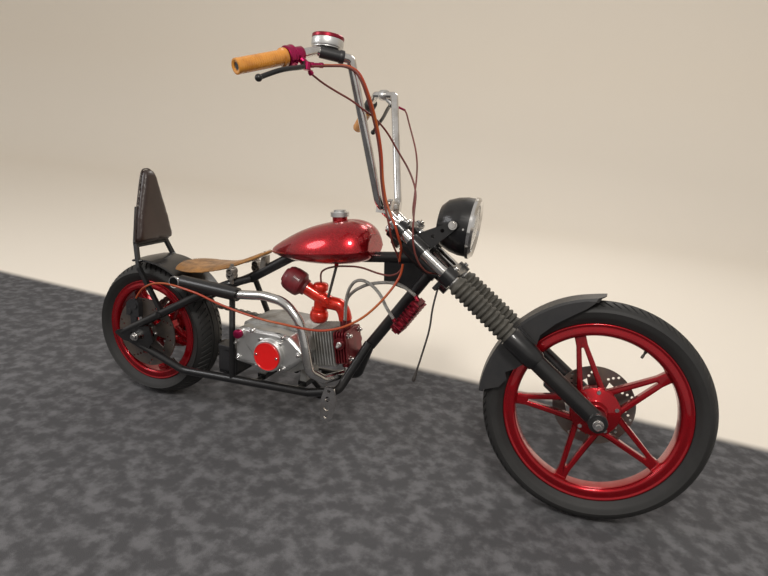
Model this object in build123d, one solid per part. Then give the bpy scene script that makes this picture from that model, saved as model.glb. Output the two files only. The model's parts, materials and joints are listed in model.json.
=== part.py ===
from build123d import *
import math
import os

os.makedirs("parts", exist_ok=True)

# Chopper motorcycle, all sizes in millimetres.
# It is drawn upright first: X forward, Y to the rider's left, Z up, floor at 0, rear axle over X = 0.
# Each piece is then turned into its parked place: the fork steered, the whole leaned on its side stand.

# The part's origin is on the floor, under the middle of its box.
CENTRE_X = 716.5
CENTRE_Y = 67.2

# How it is parked
LEAN_DEG = 3.0
STEER_DEG = 8.8

# Wheels and tyres
REAR_FLANGE_R = 166.5
REAR_TYRE_HEIGHT = 55.1
REAR_TYRE_HALF_WIDTH = 64.0
REAR_RIM_HALF = 47.5
FRONT_FLANGE_R = 228.0
FRONT_TYRE_HEIGHT = 55.0
FRONT_TYRE_HALF_WIDTH = 40.0
FRONT_RIM_HALF = 25.0
WELL_DEPTH = 14.2
REAR_RIM_WALL = 12.0
FRONT_RIM_WALL = 15.0
SPOKES = 5
WHEEL_AXLE_R = 7.5
RUNNING_GAP = 0.05
SEAT_GAP = 0.02
SOFT_GAP = 0.3
# Shape of a tyre's crown, as shares of its half width
CREST = 0.42
SHOULDER = 0.93

# Fork line and steering head
WHEELBASE = 1373.0
RAKE_FROM_FLOOR_DEG = 35.3
FORK_OFFSET = 32.0
NECK_MID_T = 590.0
NECK_HALF = 62.0
NECK_R = 24.0
NECK_BORE_R = 19.0
BEARING_LENGTH = 16.0
STEM_R = 13.0
LEG_Y = 88.0
LEG_R = 15.5
LOWER_LEG_R = 22.0
LOWER_YOKE_GAP = 14.0
LOWER_YOKE_THICK = 32.0
UPPER_YOKE_GAP = 6.0
UPPER_YOKE_THICK = 24.0
GAITER_LENGTH = 188.0
GAITER_R = 27.0
GAITER_RIBS = 12

# Frame tubes
TUBE_R = 12.5
BACKBONE_R = 15.0
DOWN_TUBE_R = 16.0
CROSS_TUBE_R = 9.0
RAIL_REAR_Y = 98.0

# Engine and drive
CRANK_X = 494.0
CRANK_Z = 274.0
BORE_TILT_DEG = 11.0
BARREL_R = 36.0
BARREL_FINS = 8
HEAD_FINS = 5
CHAIN_Y = 74.0
CHAIN_PITCH = 12.7
CHAIN_LINKS = 92
ROLLER_R = 4.2
REAR_TEETH = 42
FRONT_TEETH = 15

# Handlebar
BAR_R = 11.0
GRIP_R = 16.5

# Tank
TANK_TILT_DEG = 10.3
TANK_GAP = 0.3

# Cords: share of the shorter run that each bend may use
ARC_SHARE = 0.45

REAR_TYRE_R = REAR_FLANGE_R + REAR_TYRE_HEIGHT
FRONT_TYRE_R = FRONT_FLANGE_R + FRONT_TYRE_HEIGHT
CROWN = (SHOULDER ** 2 + CREST ** 2) / (2 * CREST)
REAR_CROWN_R = REAR_TYRE_HALF_WIDTH * CROWN
FRONT_CROWN_R = FRONT_TYRE_HALF_WIDTH * CROWN
lean = math.radians(LEAN_DEG)
steer = math.radians(STEER_DEG)
COS = math.cos(math.radians(RAKE_FROM_FLOOR_DEG))
SIN = math.sin(math.radians(RAKE_FROM_FLOOR_DEG))
ACROSS = (1.0, 0.0, 0.0)
STEM_UP = (-COS, 0.0, SIN)
FORK_FORWARD = (SIN, 0.0, COS)


def unit(v):
    size = math.sqrt(sum(c * c for c in v))
    return tuple(c / size for c in v)


def along(a, line, s):
    """The point s along a direction from a."""
    return tuple(a[i] + line[i] * s for i in range(3))


def turned(point, axis, angle):
    """Turns a vector about an axis through the origin."""
    k = unit(axis)
    c = math.cos(angle)
    s = math.sin(angle)
    dot = sum(a * b for a, b in zip(k, point))
    cross = (
        k[1] * point[2] - k[2] * point[1],
        k[2] * point[0] - k[0] * point[2],
        k[0] * point[1] - k[1] * point[0],
    )
    return tuple(point[i] * c + cross[i] * s + k[i] * dot * (1 - c) for i in range(3))


# The leaned rear tyre rests on its crown: the whole machine is lifted by what that takes.
LIFT = (REAR_TYRE_R - REAR_CROWN_R) * (math.cos(lean) - 1) + REAR_TYRE_R * (1 - math.cos(lean))

# The front axle's height upright, so that the steered and leaned tyre touches the floor too.
to_axle = tuple(FORK_OFFSET * c for c in FORK_FORWARD)
swung = turned(to_axle, STEM_UP, steer)
axle_move = tuple(swung[i] - to_axle[i] for i in range(3))
axle_line = turned(turned((0.0, 1.0, 0.0), STEM_UP, steer), ACROSS, -lean)
front_centre_z = (FRONT_TYRE_R - FRONT_CROWN_R) * math.sqrt(1 - axle_line[2] ** 2) + FRONT_CROWN_R
moved_z = turned((0.0, axle_move[1], axle_move[2]), ACROSS, -lean)[2]
AXLE = (WHEELBASE, 0.0, (front_centre_z - LIFT - moved_z) / math.cos(lean))
REAR_AXLE = (0.0, 0.0, REAR_TYRE_R)
STEM_FOOT = tuple(AXLE[i] - to_axle[i] for i in range(3))


def park(shape):
    """Frame pieces: leaned on the stand."""
    return Pos(-CENTRE_X, -CENTRE_Y, LIFT) * (Rot(-LEAN_DEG, 0, 0) * shape)


def steer_and_park(shape):
    """Fork pieces: steered about the stem, then leaned."""
    return park(shape.rotate(Axis(STEM_FOOT, STEM_UP), STEER_DEG))


def parked(point):
    """A drawn point in the part's own frame."""
    x, y, z = turned(point, ACROSS, -lean)
    return (x - CENTRE_X, y - CENTRE_Y, z + LIFT)


def steered_back(point):
    """A parked place, drawn, as it would lie with the fork straight."""
    from_stem = tuple(point[i] - STEM_FOOT[i] for i in range(3))
    back = turned(from_stem, STEM_UP, -steer)
    return tuple(back[i] + STEM_FOOT[i] for i in range(3))


def fork(t, y=0.0, n=0.0):
    """A point on the fork: t up its line from the front axle, y to the left, n forward of it."""
    return (AXLE[0] - t * COS + n * SIN, y, AXLE[2] + t * SIN + n * COS)


def rear(x, y, z):
    """A point from the rear axle."""
    return (x, y, REAR_AXLE[2] + z)


def engine(x, y, z):
    """A point from the crankshaft."""
    return (CRANK_X + x, y, CRANK_Z + z)


NECK_MID = fork(NECK_MID_T, 0, -FORK_OFFSET)
LOWER_YOKE_HIGH = NECK_MID_T - NECK_HALF - LOWER_YOKE_GAP
LOWER_YOKE_LOW = LOWER_YOKE_HIGH - LOWER_YOKE_THICK
UPPER_YOKE_LOW = NECK_MID_T + NECK_HALF + UPPER_YOKE_GAP
UPPER_YOKE_HIGH = UPPER_YOKE_LOW + UPPER_YOKE_THICK
FORK_TOP = fork(UPPER_YOKE_HIGH)


def neck(x, y, z):
    """A point from the middle of the steering head."""
    return (NECK_MID[0] + x, y, NECK_MID[2] + z)


def top(x, y, z):
    """A point from the top of the fork, with the fork straight."""
    return (FORK_TOP[0] + x, y, FORK_TOP[2] + z)


def stem(t_low, t_high, r):
    """A rod on the steering stem's line."""
    return rod(fork(t_low, 0, -FORK_OFFSET), fork(t_high, 0, -FORK_OFFSET), r)


def rod(a, b, r):
    line = tuple(b[i] - a[i] for i in range(3))
    length = math.sqrt(sum(c * c for c in line))
    return Plane(origin=a, z_dir=line) * Cylinder(r, length, align=(Align.CENTER, Align.CENTER, Align.MIN))


def sleeve(a, b, r_out, r_in):
    return rod(a, b, r_out) - rod(a, b, r_in)


def bent(points, radii, r):
    """A tube of straight runs joined by arcs."""
    path = FilletPolyline(*points, radius=radii)
    return sweep(Plane(origin=path @ 0, z_dir=path % 0) * Circle(r), path=path)


def cord(label, points, r):
    """A cable or hose: straight runs joined by arcs as large as the runs allow."""
    radii = []
    for i in range(1, len(points) - 1):
        before = Vector(*points[i]) - Vector(*points[i - 1])
        after = Vector(*points[i + 1]) - Vector(*points[i])
        half_turn = math.radians(before.get_angle(after)) / 2
        radii.append(ARC_SHARE * min(before.length, after.length) / math.tan(half_turn))
    path = FilletPolyline(*points, radius=radii)
    tube = sweep(Plane(origin=path @ 0, z_dir=path % 0) * Circle(r), path=path)
    share = tube.volume / (math.pi * r * r * path.length)
    print("cord", label, "length", round(path.length, 1), "volume share", round(share, 4))
    print("radii", [round(radius) for radius in radii])
    return tube


def block(x, y, z):
    """A box from three (low, high) pairs."""
    centre = ((x[0] + x[1]) / 2, (y[0] + y[1]) / 2, (z[0] + z[1]) / 2)
    return Pos(*centre) * Box(x[1] - x[0], y[1] - y[0], z[1] - z[0])


def plate(outline, y_low, y_high):
    """A flat plate across Y from an outline of (x, z) points."""
    face = Plane(origin=(0, y_high, 0), x_dir=ACROSS, z_dir=(0, -1, 0))
    return extrude(face * make_face(Polyline(*outline, close=True)), amount=y_high - y_low)


def plate_at(origin, outline, y_low, y_high):
    """A flat plate across Y from an outline of (x, z) steps from an origin."""
    return plate([(origin[0] + x, origin[2] + z) for x, z in outline], y_low, y_high)


def turned_about_y(profile):
    """A ring or disc about Y from (radius, y) points."""
    return revolve(make_face(Polyline(*profile, close=True)), Axis.Y)


def turned_about(origin, line, profile):
    """A turned piece about a line from (radius, distance along it) points."""
    plane = Plane(origin=origin, z_dir=line)
    sketch = Plane(
        origin=origin,
        x_dir=plane.x_dir,
        z_dir=tuple(plane.x_dir.cross(Vector(*line)).normalized()),
    )
    return revolve(sketch * make_face(Polyline(*profile, close=True)), Axis(origin, line))


def mirrored(shape):
    return shape + mirror(shape, about=Plane.XZ)


def moved(shape, point):
    return Pos(*point) * shape


def save(name, shape):
    export_step(shape, os.path.join("parts", name + ".step"))


def rim_profile(flange_r, half_width, wall):
    """Half-section of a cast rim as (radius, y)."""
    well_r = flange_r - WELL_DEPTH
    return [
        (well_r - wall, -half_width),
        (flange_r, -half_width),
        (flange_r, -half_width + 4),
        (well_r, -half_width + 6),
        (well_r, half_width - 6),
        (flange_r, half_width - 4),
        (flange_r, half_width),
        (well_r - wall, half_width),
        (well_r - wall - 3, half_width - 8),
        (well_r - wall - 3, -half_width + 8),
    ]


def tyre(outer_r, half_width, flange_r, rim_half):
    """A tyre: rounded tread and side walls over a bead between the flanges."""
    g = SOFT_GAP
    well_r = flange_r - WELL_DEPTH
    bead = rim_half - 6 - g
    side_r = outer_r * 0.42 + flange_r * 0.58
    side = half_width * 0.97
    low = outer_r - half_width * CREST
    edge = half_width * SHOULDER
    path = [
        Line((well_r + g, -bead), (well_r + g, bead)),
        Line((well_r + g, bead), (flange_r + g, rim_half - 4 - g)),
        Line((flange_r + g, rim_half - 4 - g), (flange_r + 3, rim_half)),
        ThreePointArc((flange_r + 3, rim_half), (side_r, side), (low, edge)),
        ThreePointArc((low, edge), (outer_r, 0), (low, -edge)),
        ThreePointArc((low, -edge), (side_r, -side), (flange_r + 3, -rim_half)),
        Line((flange_r + 3, -rim_half), (flange_r + g, -rim_half + 4 + g)),
        Line((flange_r + g, -rim_half + 4 + g), (well_r + g, -bead)),
    ]
    return revolve(make_face(path), Axis.Y)


def split_spokes(first_deg, hub_r, foot, rim_r, root, half_thick, width):
    """Spokes of two arms that meet before the rim: root is how far inside the rim they meet."""
    apex_r = rim_r - root
    arms = []
    for i in range(SPOKES):
        pair = Pos(rim_r - root / 2, 0, 0) * Box(root + 12, 2 * half_thick, width * 1.9)
        for side in (-1, 1):
            outline = [
                (hub_r - 4, side * (foot - width / 2)),
                (hub_r - 4, side * (foot + width / 2)),
                (apex_r + 4, side * (width * 0.9)),
                (apex_r + 4, side * 1.0),
            ]
            pair = pair + plate(outline, -half_thick, half_thick)
        arms.append(Rot(0, -first_deg - i * 360.0 / SPOKES, 0) * pair)
    return arms


DISC_HOLE_R = 3.5
DISC_HOLE_EDGE = 7.0


def brake_disc(carrier_r, inner_r, outer_r, y_low, y_high):
    """A disc with ten slanted rows of three holes in its ring and five windows round its carrier."""
    disc = turned_about_y([(carrier_r, y_low), (outer_r, y_low), (outer_r, y_high), (carrier_r, y_high)])
    low = inner_r + DISC_HOLE_EDGE
    step = (outer_r - DISC_HOLE_EDGE - low) / 2
    cuts = []
    for i in range(10):
        for k in range(3):
            spot = low + k * step
            cuts.append(Rot(0, i * 36.0 + k * 6.0, 0) * rod((spot, -150, 0), (spot, 150, 0), DISC_HOLE_R))
    window = [(carrier_r + 16, -9), (inner_r - 1, -17), (inner_r - 1, 17), (carrier_r + 16, 9)]
    for i in range(5):
        cuts.append(Rot(0, 18 + i * 72.0, 0) * plate(window, -150, 150))
    return disc - cuts


# Front wheel
FRONT_HUB_HALF = 44.0
FRONT_DISC_Y = 46.0
FRONT_DISC_R = 104.0
DISC_THICK = 4.0
HUB_BORE_R = WHEEL_AXLE_R + RUNNING_GAP
front_hub = [
    (HUB_BORE_R, -FRONT_HUB_HALF),
    (26, -FRONT_HUB_HALF),
    (30, -24),
    (62, -14),
    (62, 14),
    (46, 20),
    (46, 34),
    (56, FRONT_HUB_HALF - 6),
    (56, FRONT_HUB_HALF),
    (HUB_BORE_R, FRONT_HUB_HALF),
]
front_inner = FRONT_FLANGE_R - WELL_DEPTH - FRONT_RIM_WALL - 3
front_rim = turned_about_y(rim_profile(FRONT_FLANGE_R, FRONT_RIM_HALF, FRONT_RIM_WALL))
front_rim = front_rim + turned_about_y(front_hub)
for arm in split_spokes(110.0, 56.0, 27.0, front_inner, 24.0, 11.0, 15.0):
    front_rim = front_rim + arm
front_tyre = tyre(FRONT_TYRE_R, FRONT_TYRE_HALF_WIDTH, FRONT_FLANGE_R, FRONT_RIM_HALF)
front_disc = brake_disc(30, 72, FRONT_DISC_R, FRONT_DISC_Y, FRONT_DISC_Y + DISC_THICK)
front_seat = [(30, FRONT_HUB_HALF), (44, FRONT_HUB_HALF), (44, FRONT_DISC_Y + 1), (30, FRONT_DISC_Y + 1)]
front_disc = front_disc + turned_about_y(front_seat)
for name, shape in (
    ("front_wheel_rim", front_rim),
    ("front_tyre", front_tyre),
    ("front_brake_disc", front_disc),
):
    save(name, steer_and_park(moved(shape, AXLE)))

# Rear wheel
REAR_HUB_HALF = 62.0
REAR_DISC_Y = -68.0
REAR_DISC_R = 112.0
rear_hub = [
    (HUB_BORE_R, -REAR_HUB_HALF),
    (46, -REAR_HUB_HALF),
    (46, -54),
    (36, -50),
    (38, -20),
    (60, -14),
    (60, 14),
    (38, 20),
    (36, 50),
    (46, 54),
    (46, REAR_HUB_HALF),
    (HUB_BORE_R, REAR_HUB_HALF),
]
rear_inner = REAR_FLANGE_R - WELL_DEPTH - REAR_RIM_WALL - 3
rear_rim = turned_about_y(rim_profile(REAR_FLANGE_R, REAR_RIM_HALF, REAR_RIM_WALL))
rear_rim = rear_rim + turned_about_y(rear_hub)
for arm in split_spokes(58.0, 54.0, 20.0, rear_inner, 19.5, 12.0, 15.0):
    rear_rim = rear_rim + arm
rear_tyre = tyre(REAR_TYRE_R, REAR_TYRE_HALF_WIDTH, REAR_FLANGE_R, REAR_RIM_HALF)
rear_disc = brake_disc(24, 76, REAR_DISC_R, REAR_DISC_Y, REAR_DISC_Y + DISC_THICK)
seat_low = REAR_DISC_Y + DISC_THICK - 1
rear_disc = rear_disc + turned_about_y([
    (24, seat_low),
    (39, seat_low),
    (39, -REAR_HUB_HALF),
    (24, -REAR_HUB_HALF),
])
BIG_PITCH_R = CHAIN_PITCH / (2 * math.sin(math.pi / REAR_TEETH))
SMALL_PITCH_R = CHAIN_PITCH / (2 * math.sin(math.pi / FRONT_TEETH))
SPROCKET_HALF = 2.5
SPROCKET_R = BIG_PITCH_R - ROLLER_R - SOFT_GAP
sprocket_low = CHAIN_Y - SPROCKET_HALF
sprocket_high = CHAIN_Y + SPROCKET_HALF
rear_sprocket = turned_about_y([
    (26, REAR_HUB_HALF),
    (44, REAR_HUB_HALF),
    (48, sprocket_low),
    (SPROCKET_R, sprocket_low),
    (SPROCKET_R, sprocket_high),
    (26, sprocket_high),
])
for i in range(6):
    hole = Pos(64, CHAIN_Y, 0) * (Rot(90, 0, 0) * Cylinder(9, 20))
    rear_sprocket = rear_sprocket - Rot(0, i * 60.0, 0) * hole
for name, shape in (
    ("rear_wheel_rim", rear_rim),
    ("rear_tyre", rear_tyre),
    ("rear_brake_disc", rear_disc),
    ("rear_sprocket", rear_sprocket),
):
    save(name, park(moved(shape, REAR_AXLE)))

# Frame: backbone, steering head with its bearings, gusset and down tube
backbone_points = [(340, 0, 448), (482, 0, 540), neck(0, 0, 4)]
backbone_tube = bent(backbone_points, [70.0], BACKBONE_R)
neck_low = NECK_MID_T - NECK_HALF
neck_high = NECK_MID_T + NECK_HALF
head_tube = stem(neck_low, neck_high, NECK_R)
split = (748, 0, 322)
down_top = fork(NECK_MID_T - 42, 0, -FORK_OFFSET - 12)
down_tube = rod(down_top, split, DOWN_TUBE_R)
# columns: x, z from the middle of the steering head
GUSSET = [(-105, -18), (-100, -80), (-43, -90), (-5, -88), (27, -34), (0, 0)]
gusset = plate_at(NECK_MID, GUSSET, -4, 4) - down_tube
backbone = backbone_tube + head_tube + gusset - stem(neck_low - 1, neck_high + 1, NECK_BORE_R)
for low in (neck_low, neck_high - BEARING_LENGTH):
    race = stem(low, low + BEARING_LENGTH, NECK_BORE_R + 1)
    race = race - stem(low - 1, low + BEARING_LENGTH + 1, STEM_R + RUNNING_GAP)
    backbone = backbone + race
save("frame_backbone", park(backbone))
rail_points = [rear(-66, RAIL_REAR_Y, -12.6), (165, 92, 137), (600, 80, 166)]
leg = bent([(748, 12, 330), (690, 72, 190), rail_points[2]], [34.0], TUBE_R)
rail = bent(rail_points, [90.0], TUBE_R)
rail_clear = bent(rail_points, [90.0], TUBE_R + 0.01)
cradle = mirrored(leg - rail_clear) + down_tube - head_tube
save("frame_down_tube", park(cradle))

# Rear triangle: stays, axle plates and struts in one welded piece a side
stay_points = [rear(-66, RAIL_REAR_Y + 1, -4.6), (228, 96, 395), (305, 64, 436), (345, 14, 450)]
stay = bent(stay_points, [60.0, 30.0], TUBE_R)
stay = stay - rod(backbone_points[0], backbone_points[1], BACKBONE_R + 0.01)
stay = stay - block((285, 405), (-100, 0), (400, 500))
PLATE_Y = 110.0
# columns: x, z from the rear axle
AXLE_PLATE = [(-92, -8), (-60, -26), (44, -32), (62, -8), (44, 40), (-10, 26), (-84, 2)]
axle_plate = plate_at(REAR_AXLE, AXLE_PLATE, PLATE_Y - 5, PLATE_Y)
axle_slot_half = WHEEL_AXLE_R + 0.3
axle_plate = axle_plate - block(
    (-26, 26),
    (90, 120),
    (REAR_TYRE_R - axle_slot_half, REAR_TYRE_R + axle_slot_half),
)
axle_plate = axle_plate + rod(rear(-66, RAIL_REAR_Y - 1, -12.6), rear(-66, PLATE_Y - 2, -12.6), 11)
strut = bent([(345, 89, 150), (345, 96, 318), (318, 62, 424)], [30.0], CROSS_TUBE_R)
save("frame_rear_stays", park(mirrored(stay + axle_plate + strut - rail_clear)))

# Rear axle with its nuts and spacers
axle = rod(rear(0, -132, 0), rear(0, 132, 0), WHEEL_AXLE_R)
nut = rod(rear(0, PLATE_Y + SEAT_GAP, 0), rear(0, PLATE_Y + 12, 0), 13)
left_spacer = sleeve(
    rear(0, sprocket_high + 1, 0),
    rear(0, PLATE_Y - 5 - SEAT_GAP, 0),
    14,
    WHEEL_AXLE_R - 1,
)
right_spacer = sleeve(
    rear(0, -PLATE_Y + 5 + SEAT_GAP, 0),
    rear(0, REAR_DISC_Y - 0.5, 0),
    14,
    WHEEL_AXLE_R - 1,
)
save("rear_axle", park(axle + mirrored(nut) + left_spacer + right_spacer))

# Lower rails with the cross tubes that carry the engine and the battery tray
# columns: x, z of the tube, z of the seat on it, half length of the seat
CROSS_TUBES = [(420, 154, 168, 14), (560, 163, 177, 14), (296, 139, 150, 30)]
rails = mirrored(rail)
for x, z, seat_z, seat_half in CROSS_TUBES:
    rails = rails + rod((x, -82, z), (x, 82, z), CROSS_TUBE_R)
    rails = rails + block((x - seat_half, x + seat_half), (-44, 44), (z, seat_z - SEAT_GAP))
rails = park(rails)

# Engine: cases, covers, finned barrel and head
bore_c = math.cos(math.radians(BORE_TILT_DEG))
bore_s = math.sin(math.radians(BORE_TILT_DEG))
BORE_LINE = (bore_c, 0, bore_s)
CRANK = engine(0, 0, 0)


def bore(s, y=0.0, n=0.0):
    """A point on the cylinder: s forward from the crank, n upward of its line."""
    return engine(s * bore_c - n * bore_s, y, s * bore_s + n * bore_c)


def fin(s, y_size, n_size, thick):
    """A cooling fin across the cylinder."""
    flat_fin = Plane(origin=bore(s), z_dir=BORE_LINE, x_dir=(0, 1, 0)) * Box(y_size, n_size, thick)
    return fillet(flat_fin.edges().filter_by(Axis(CRANK, BORE_LINE)), 10)


# columns: x, z from the crank
CASE = [(-128, -24), (-122, 64), (-54, 78), (46, 78), (92, 56), (106, 18), (92, -38), (46, -62), (-94, -60)]
COVER = [(-116, -46), (-120, 52), (-102, 63), (6, 69), (58, 66), (106, 26), (104, 4), (54, -40), (6, -50)]
FLYWHEEL_BACK = [(-122, -24), (-120, 56), (-54, 64), (-24, 46), (-24, -34)]
CASE_RIGHT = -74.0
CASE_LEFT = 62.0
COVER_Y = -126.0
case = plate_at(CRANK, CASE, CASE_RIGHT, CASE_LEFT)
case = fillet(case.edges().filter_by(Axis.Y), 12)
for x, z, seat_z, seat_half in CROSS_TUBES[:2]:
    case = case + block((x - 10, x + 10), (-40, 40), (seat_z, CRANK_Z - 30))
save("engine_crankcase", park(case))
cover = plate_at(CRANK, COVER, COVER_Y, CASE_RIGHT - SEAT_GAP)
cover = fillet(cover.edges().filter_by(Axis.Y), 10)
cover = chamfer(cover.faces().sort_by(Axis.Y)[0].edges(), 8)
DISC_SEAT_Y = COVER_Y - 14
cover = cover + rod(engine(0, -100, 0), engine(0, DISC_SEAT_Y, 0), 47)
cover = cover + rod(engine(-96, -110, 48), engine(-96, COVER_Y - 10, 48), 14)
# columns: x, z from the crank, radius, height above the cover
COVER_BOSSES = [
    (-104, -30, 7, 3),
    (-60, 60, 7, 3),
    (40, 60, 7, 3),
    (92, 18, 7, 3),
    (46, -32, 7, 3),
    (-40, -40, 7, 3),
]
for x, z, r, height in COVER_BOSSES:
    cover = cover + rod(engine(x, -110, z), engine(x, COVER_Y - height, z), r)
save("clutch_cover", park(cover))
disc = rod(engine(0, DISC_SEAT_Y - SEAT_GAP, 0), engine(0, DISC_SEAT_Y - 4, 0), 41)
for side in (-1, 1):
    disc = disc + rod(engine(side * 33, DISC_SEAT_Y - 3, 0), engine(side * 33, DISC_SEAT_Y - 7, 0), 4)
save("clutch_cover_disc", park(disc))
flywheel = rod(engine(0, CASE_LEFT + SEAT_GAP, 0), engine(0, 104, 0), 62)
flywheel = chamfer(flywheel.faces().sort_by(Axis.Y)[-1].edges(), 8)
flywheel = flywheel + plate_at(CRANK, FLYWHEEL_BACK, CASE_LEFT + SEAT_GAP, 66)

FIN_START = 101.0
FIN_STEP = 8.8
HEAD_LOW = 168.1
barrel = rod(bore(98), bore(HEAD_LOW - 0.1), BARREL_R)
for i in range(BARREL_FINS):
    barrel = barrel + fin(FIN_START + i * FIN_STEP, 104, 112, 3.4)
save("cylinder_barrel", park(barrel - case))
PORT_S = HEAD_LOW + 20
head = Plane(origin=bore(PORT_S), z_dir=BORE_LINE, x_dir=(0, 1, 0)) * Box(74, 78, 40)
for i in range(HEAD_FINS):
    head = head + fin(HEAD_LOW + 3 + i * 8.6, 104, 96, 3.4)
head = head + rod(bore(PORT_S, -30, 16), bore(PORT_S, -60, 16), 17)
head = head + rod(bore(PORT_S, 30, 0), bore(PORT_S, 58, 0), 19)
head = head + rod(bore(PORT_S, 0, 30), bore(PORT_S, 0, 72), 17)
port_end = bore(PORT_S - 2, -10, -64.1)
head = head + rod(bore(PORT_S - 2, -10, -30), bore(PORT_S - 2, -10, -64), 17)
# Unions of the two oil lines: columns y, x and z of the union's end
UNIONS = [(-37, 679, 392), (-21, 673, 388)]
for y, x, z in UNIONS:
    head = head + rod((x - 5, y, z - 38), (x, y, z), 6)
save("cylinder_head", park(head))

# Inlet: manifold, carburettor, air filter
inlet = bore(PORT_S, 0, 72.1)
CARB_FRONT = engine(120, -8, 150.8)
CARB_BACK = engine(50, -22, 185)
manifold = bent([inlet, bore(PORT_S, 0, 98), engine(118, -9, 152)], [14.0], 12.0)
carb = rod(CARB_FRONT, CARB_BACK, 20)
carb = carb + rod(engine(92, -14, 126), engine(92, -14, 204), 17)
carb = carb + rod(engine(92, -14, 118), engine(92, -14, 130), 23)
carb = carb + rod(engine(92, -14, 186), engine(92, -14, 192), 20)
FUEL_SPIGOT = (624, -40, 450)
carb = carb + rod(engine(106, -14, 160), (FUEL_SPIGOT[0], -40, 436), 6)
carb = carb + rod((FUEL_SPIGOT[0], -40, 430), FUEL_SPIGOT, 4)
carb = carb + (manifold - carb)
save("carburettor", park(carb))
FILTER_LINE = unit(tuple(CARB_BACK[i] - CARB_FRONT[i] for i in range(3)))
filter_foot = along(CARB_BACK, FILTER_LINE, SEAT_GAP)
pod_profile = [
    (0, 0),
    (24, 0),
    (25, 8),
    (36, 16),
    (38, 24),
    (38, 44),
    (35, 60),
    (30, 68),
    (22, 71),
    (20, 75),
    (0, 76),
]
pod = turned_about(filter_foot, FILTER_LINE, pod_profile)
save("air_filter", park(pod))

# Exhaust
header_points = [
    port_end,
    bore(PORT_S - 2, -10, -88),
    engine(162, -100, -46),
    engine(137, -141, -14),
    engine(120, -143, 56),
    engine(100, -143, 124),
    engine(50, -140, 170),
    engine(-24, -130, 172),
    engine(-118, -118, 155),
]
header = bent(header_points, [16.0, 22.0, 30.0, 80.0, 90.0, 76.0, 100.0], 13.0)
save("exhaust_header", park(header))
silencer_tail = engine(-318, -114, 157)
silencer_line = unit(tuple(silencer_tail[i] - header_points[-1][i] for i in range(3)))
silencer = rod(header_points[-1], silencer_tail, 20.0)
silencer = silencer - rod(
    along(silencer_tail, silencer_line, -90),
    along(silencer_tail, silencer_line, 20),
    16.5,
)
# The bracket that hangs it on the right stay
silencer_bore = rod(along(silencer_tail, silencer_line, -90), silencer_tail, 16.5)
silencer = silencer + (block((214, 234), (-112, -96), (400, 424)) - silencer_bore)
save("silencer", park(silencer - header - mirror(stay, about=Plane.XZ)))

# Fuel tank on its own tilted line: back from the front, up from the seam
TANK_FRONT = neck(-133, 0, 10)
tank_c = math.cos(math.radians(TANK_TILT_DEG))
tank_s = math.sin(math.radians(TANK_TILT_DEG))
# columns: distance back from the front, half width at the seam, height of the top, depth of the belly
TANK_SECTIONS = [
    (2, 52, 34, 17),
    (16, 80, 59, 27),
    (48, 99, 75, 33),
    (104, 107, 78, 35),
    (180, 97, 66, 31),
    (250, 68, 44, 23),
    (300, 36, 23, 14),
    (326, 13, 9, 7),
]


def tank_half(column, sign):
    faces = []
    for row in TANK_SECTIONS:
        w = row[1]
        h = -sign * row[column]
        origin = along(TANK_FRONT, (-tank_c, 0, -tank_s), row[0])
        plane = Plane(origin=origin, x_dir=(0, 1, 0), z_dir=(-tank_c, 0, -tank_s))
        arc = ThreePointArc((w, 0), (w * 0.72, h * 0.74), (0, h))
        other = ThreePointArc((0, h), (-w * 0.72, h * 0.74), (-w, 0))
        faces.append(plane * make_face([arc, other, Line((-w, 0), (w, 0))]))
    return loft(faces, ruled=False)


flange_left = [(row[0], -row[1] - 4) for row in TANK_SECTIONS]
flange_right = [(row[0], row[1] + 4) for row in reversed(TANK_SECTIONS)]
seam_plane = Plane(origin=TANK_FRONT, x_dir=(-tank_c, 0, -tank_s), z_dir=(-tank_s, 0, tank_c))
seam = make_face(Polyline(*flange_left, (TANK_SECTIONS[-1][0] + 6, 0), *flange_right, close=True))
tank = tank_half(2, 1) + tank_half(3, -1) + extrude(seam_plane * seam, amount=1.5, both=True)
tunnel_r = BACKBONE_R + TANK_GAP
tank = tank - bent(backbone_points, [70.0], tunnel_r) - stem(500, 760, 34)
tunnel_line = (NECK_MID[0] - 482, 0, NECK_MID[2] + 4 - 540)
tunnel_plane = Plane(origin=(482, 0, 540), x_dir=tunnel_line, z_dir=(-tunnel_line[2], 0, tunnel_line[0]))
tank = tank - tunnel_plane * (Pos(190, 0, -20) * Box(420, 2 * tunnel_r, 40))
tank = tank - block((380, 482), (-tunnel_r, tunnel_r), (480, 540))
FILLER_R = 21.0
filler_foot = along(TANK_FRONT, (-tank_c, 0, -tank_s), 109)
filler_line = unit((-4, 0, 38))
tank = tank + rod(along(filler_foot, filler_line, 50), along(filler_foot, filler_line, 91), FILLER_R)
PETCOCK_LOW = (642, -40, 541)
tank = tank + rod(PETCOCK_LOW, (644, -40, 572), 6)
save("fuel_tank", park(tank))
cap_foot = along(filler_foot, filler_line, 91 + SEAT_GAP)
cap = rod(cap_foot, along(cap_foot, filler_line, 12), 26)
cap = cap + rod(cap_foot, along(cap_foot, filler_line, 18), 17)
save("fuel_cap", park(cap))

# Saddle on its hinge and rear springs
# columns: x, z of the side view
SEAT_SIDE = [
    (96, 446),
    (100, 466),
    (180, 470),
    (260, 484),
    (330, 510),
    (404, 546),
    (410, 536),
    (334, 494),
    (262, 465),
    (180, 449),
]
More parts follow.
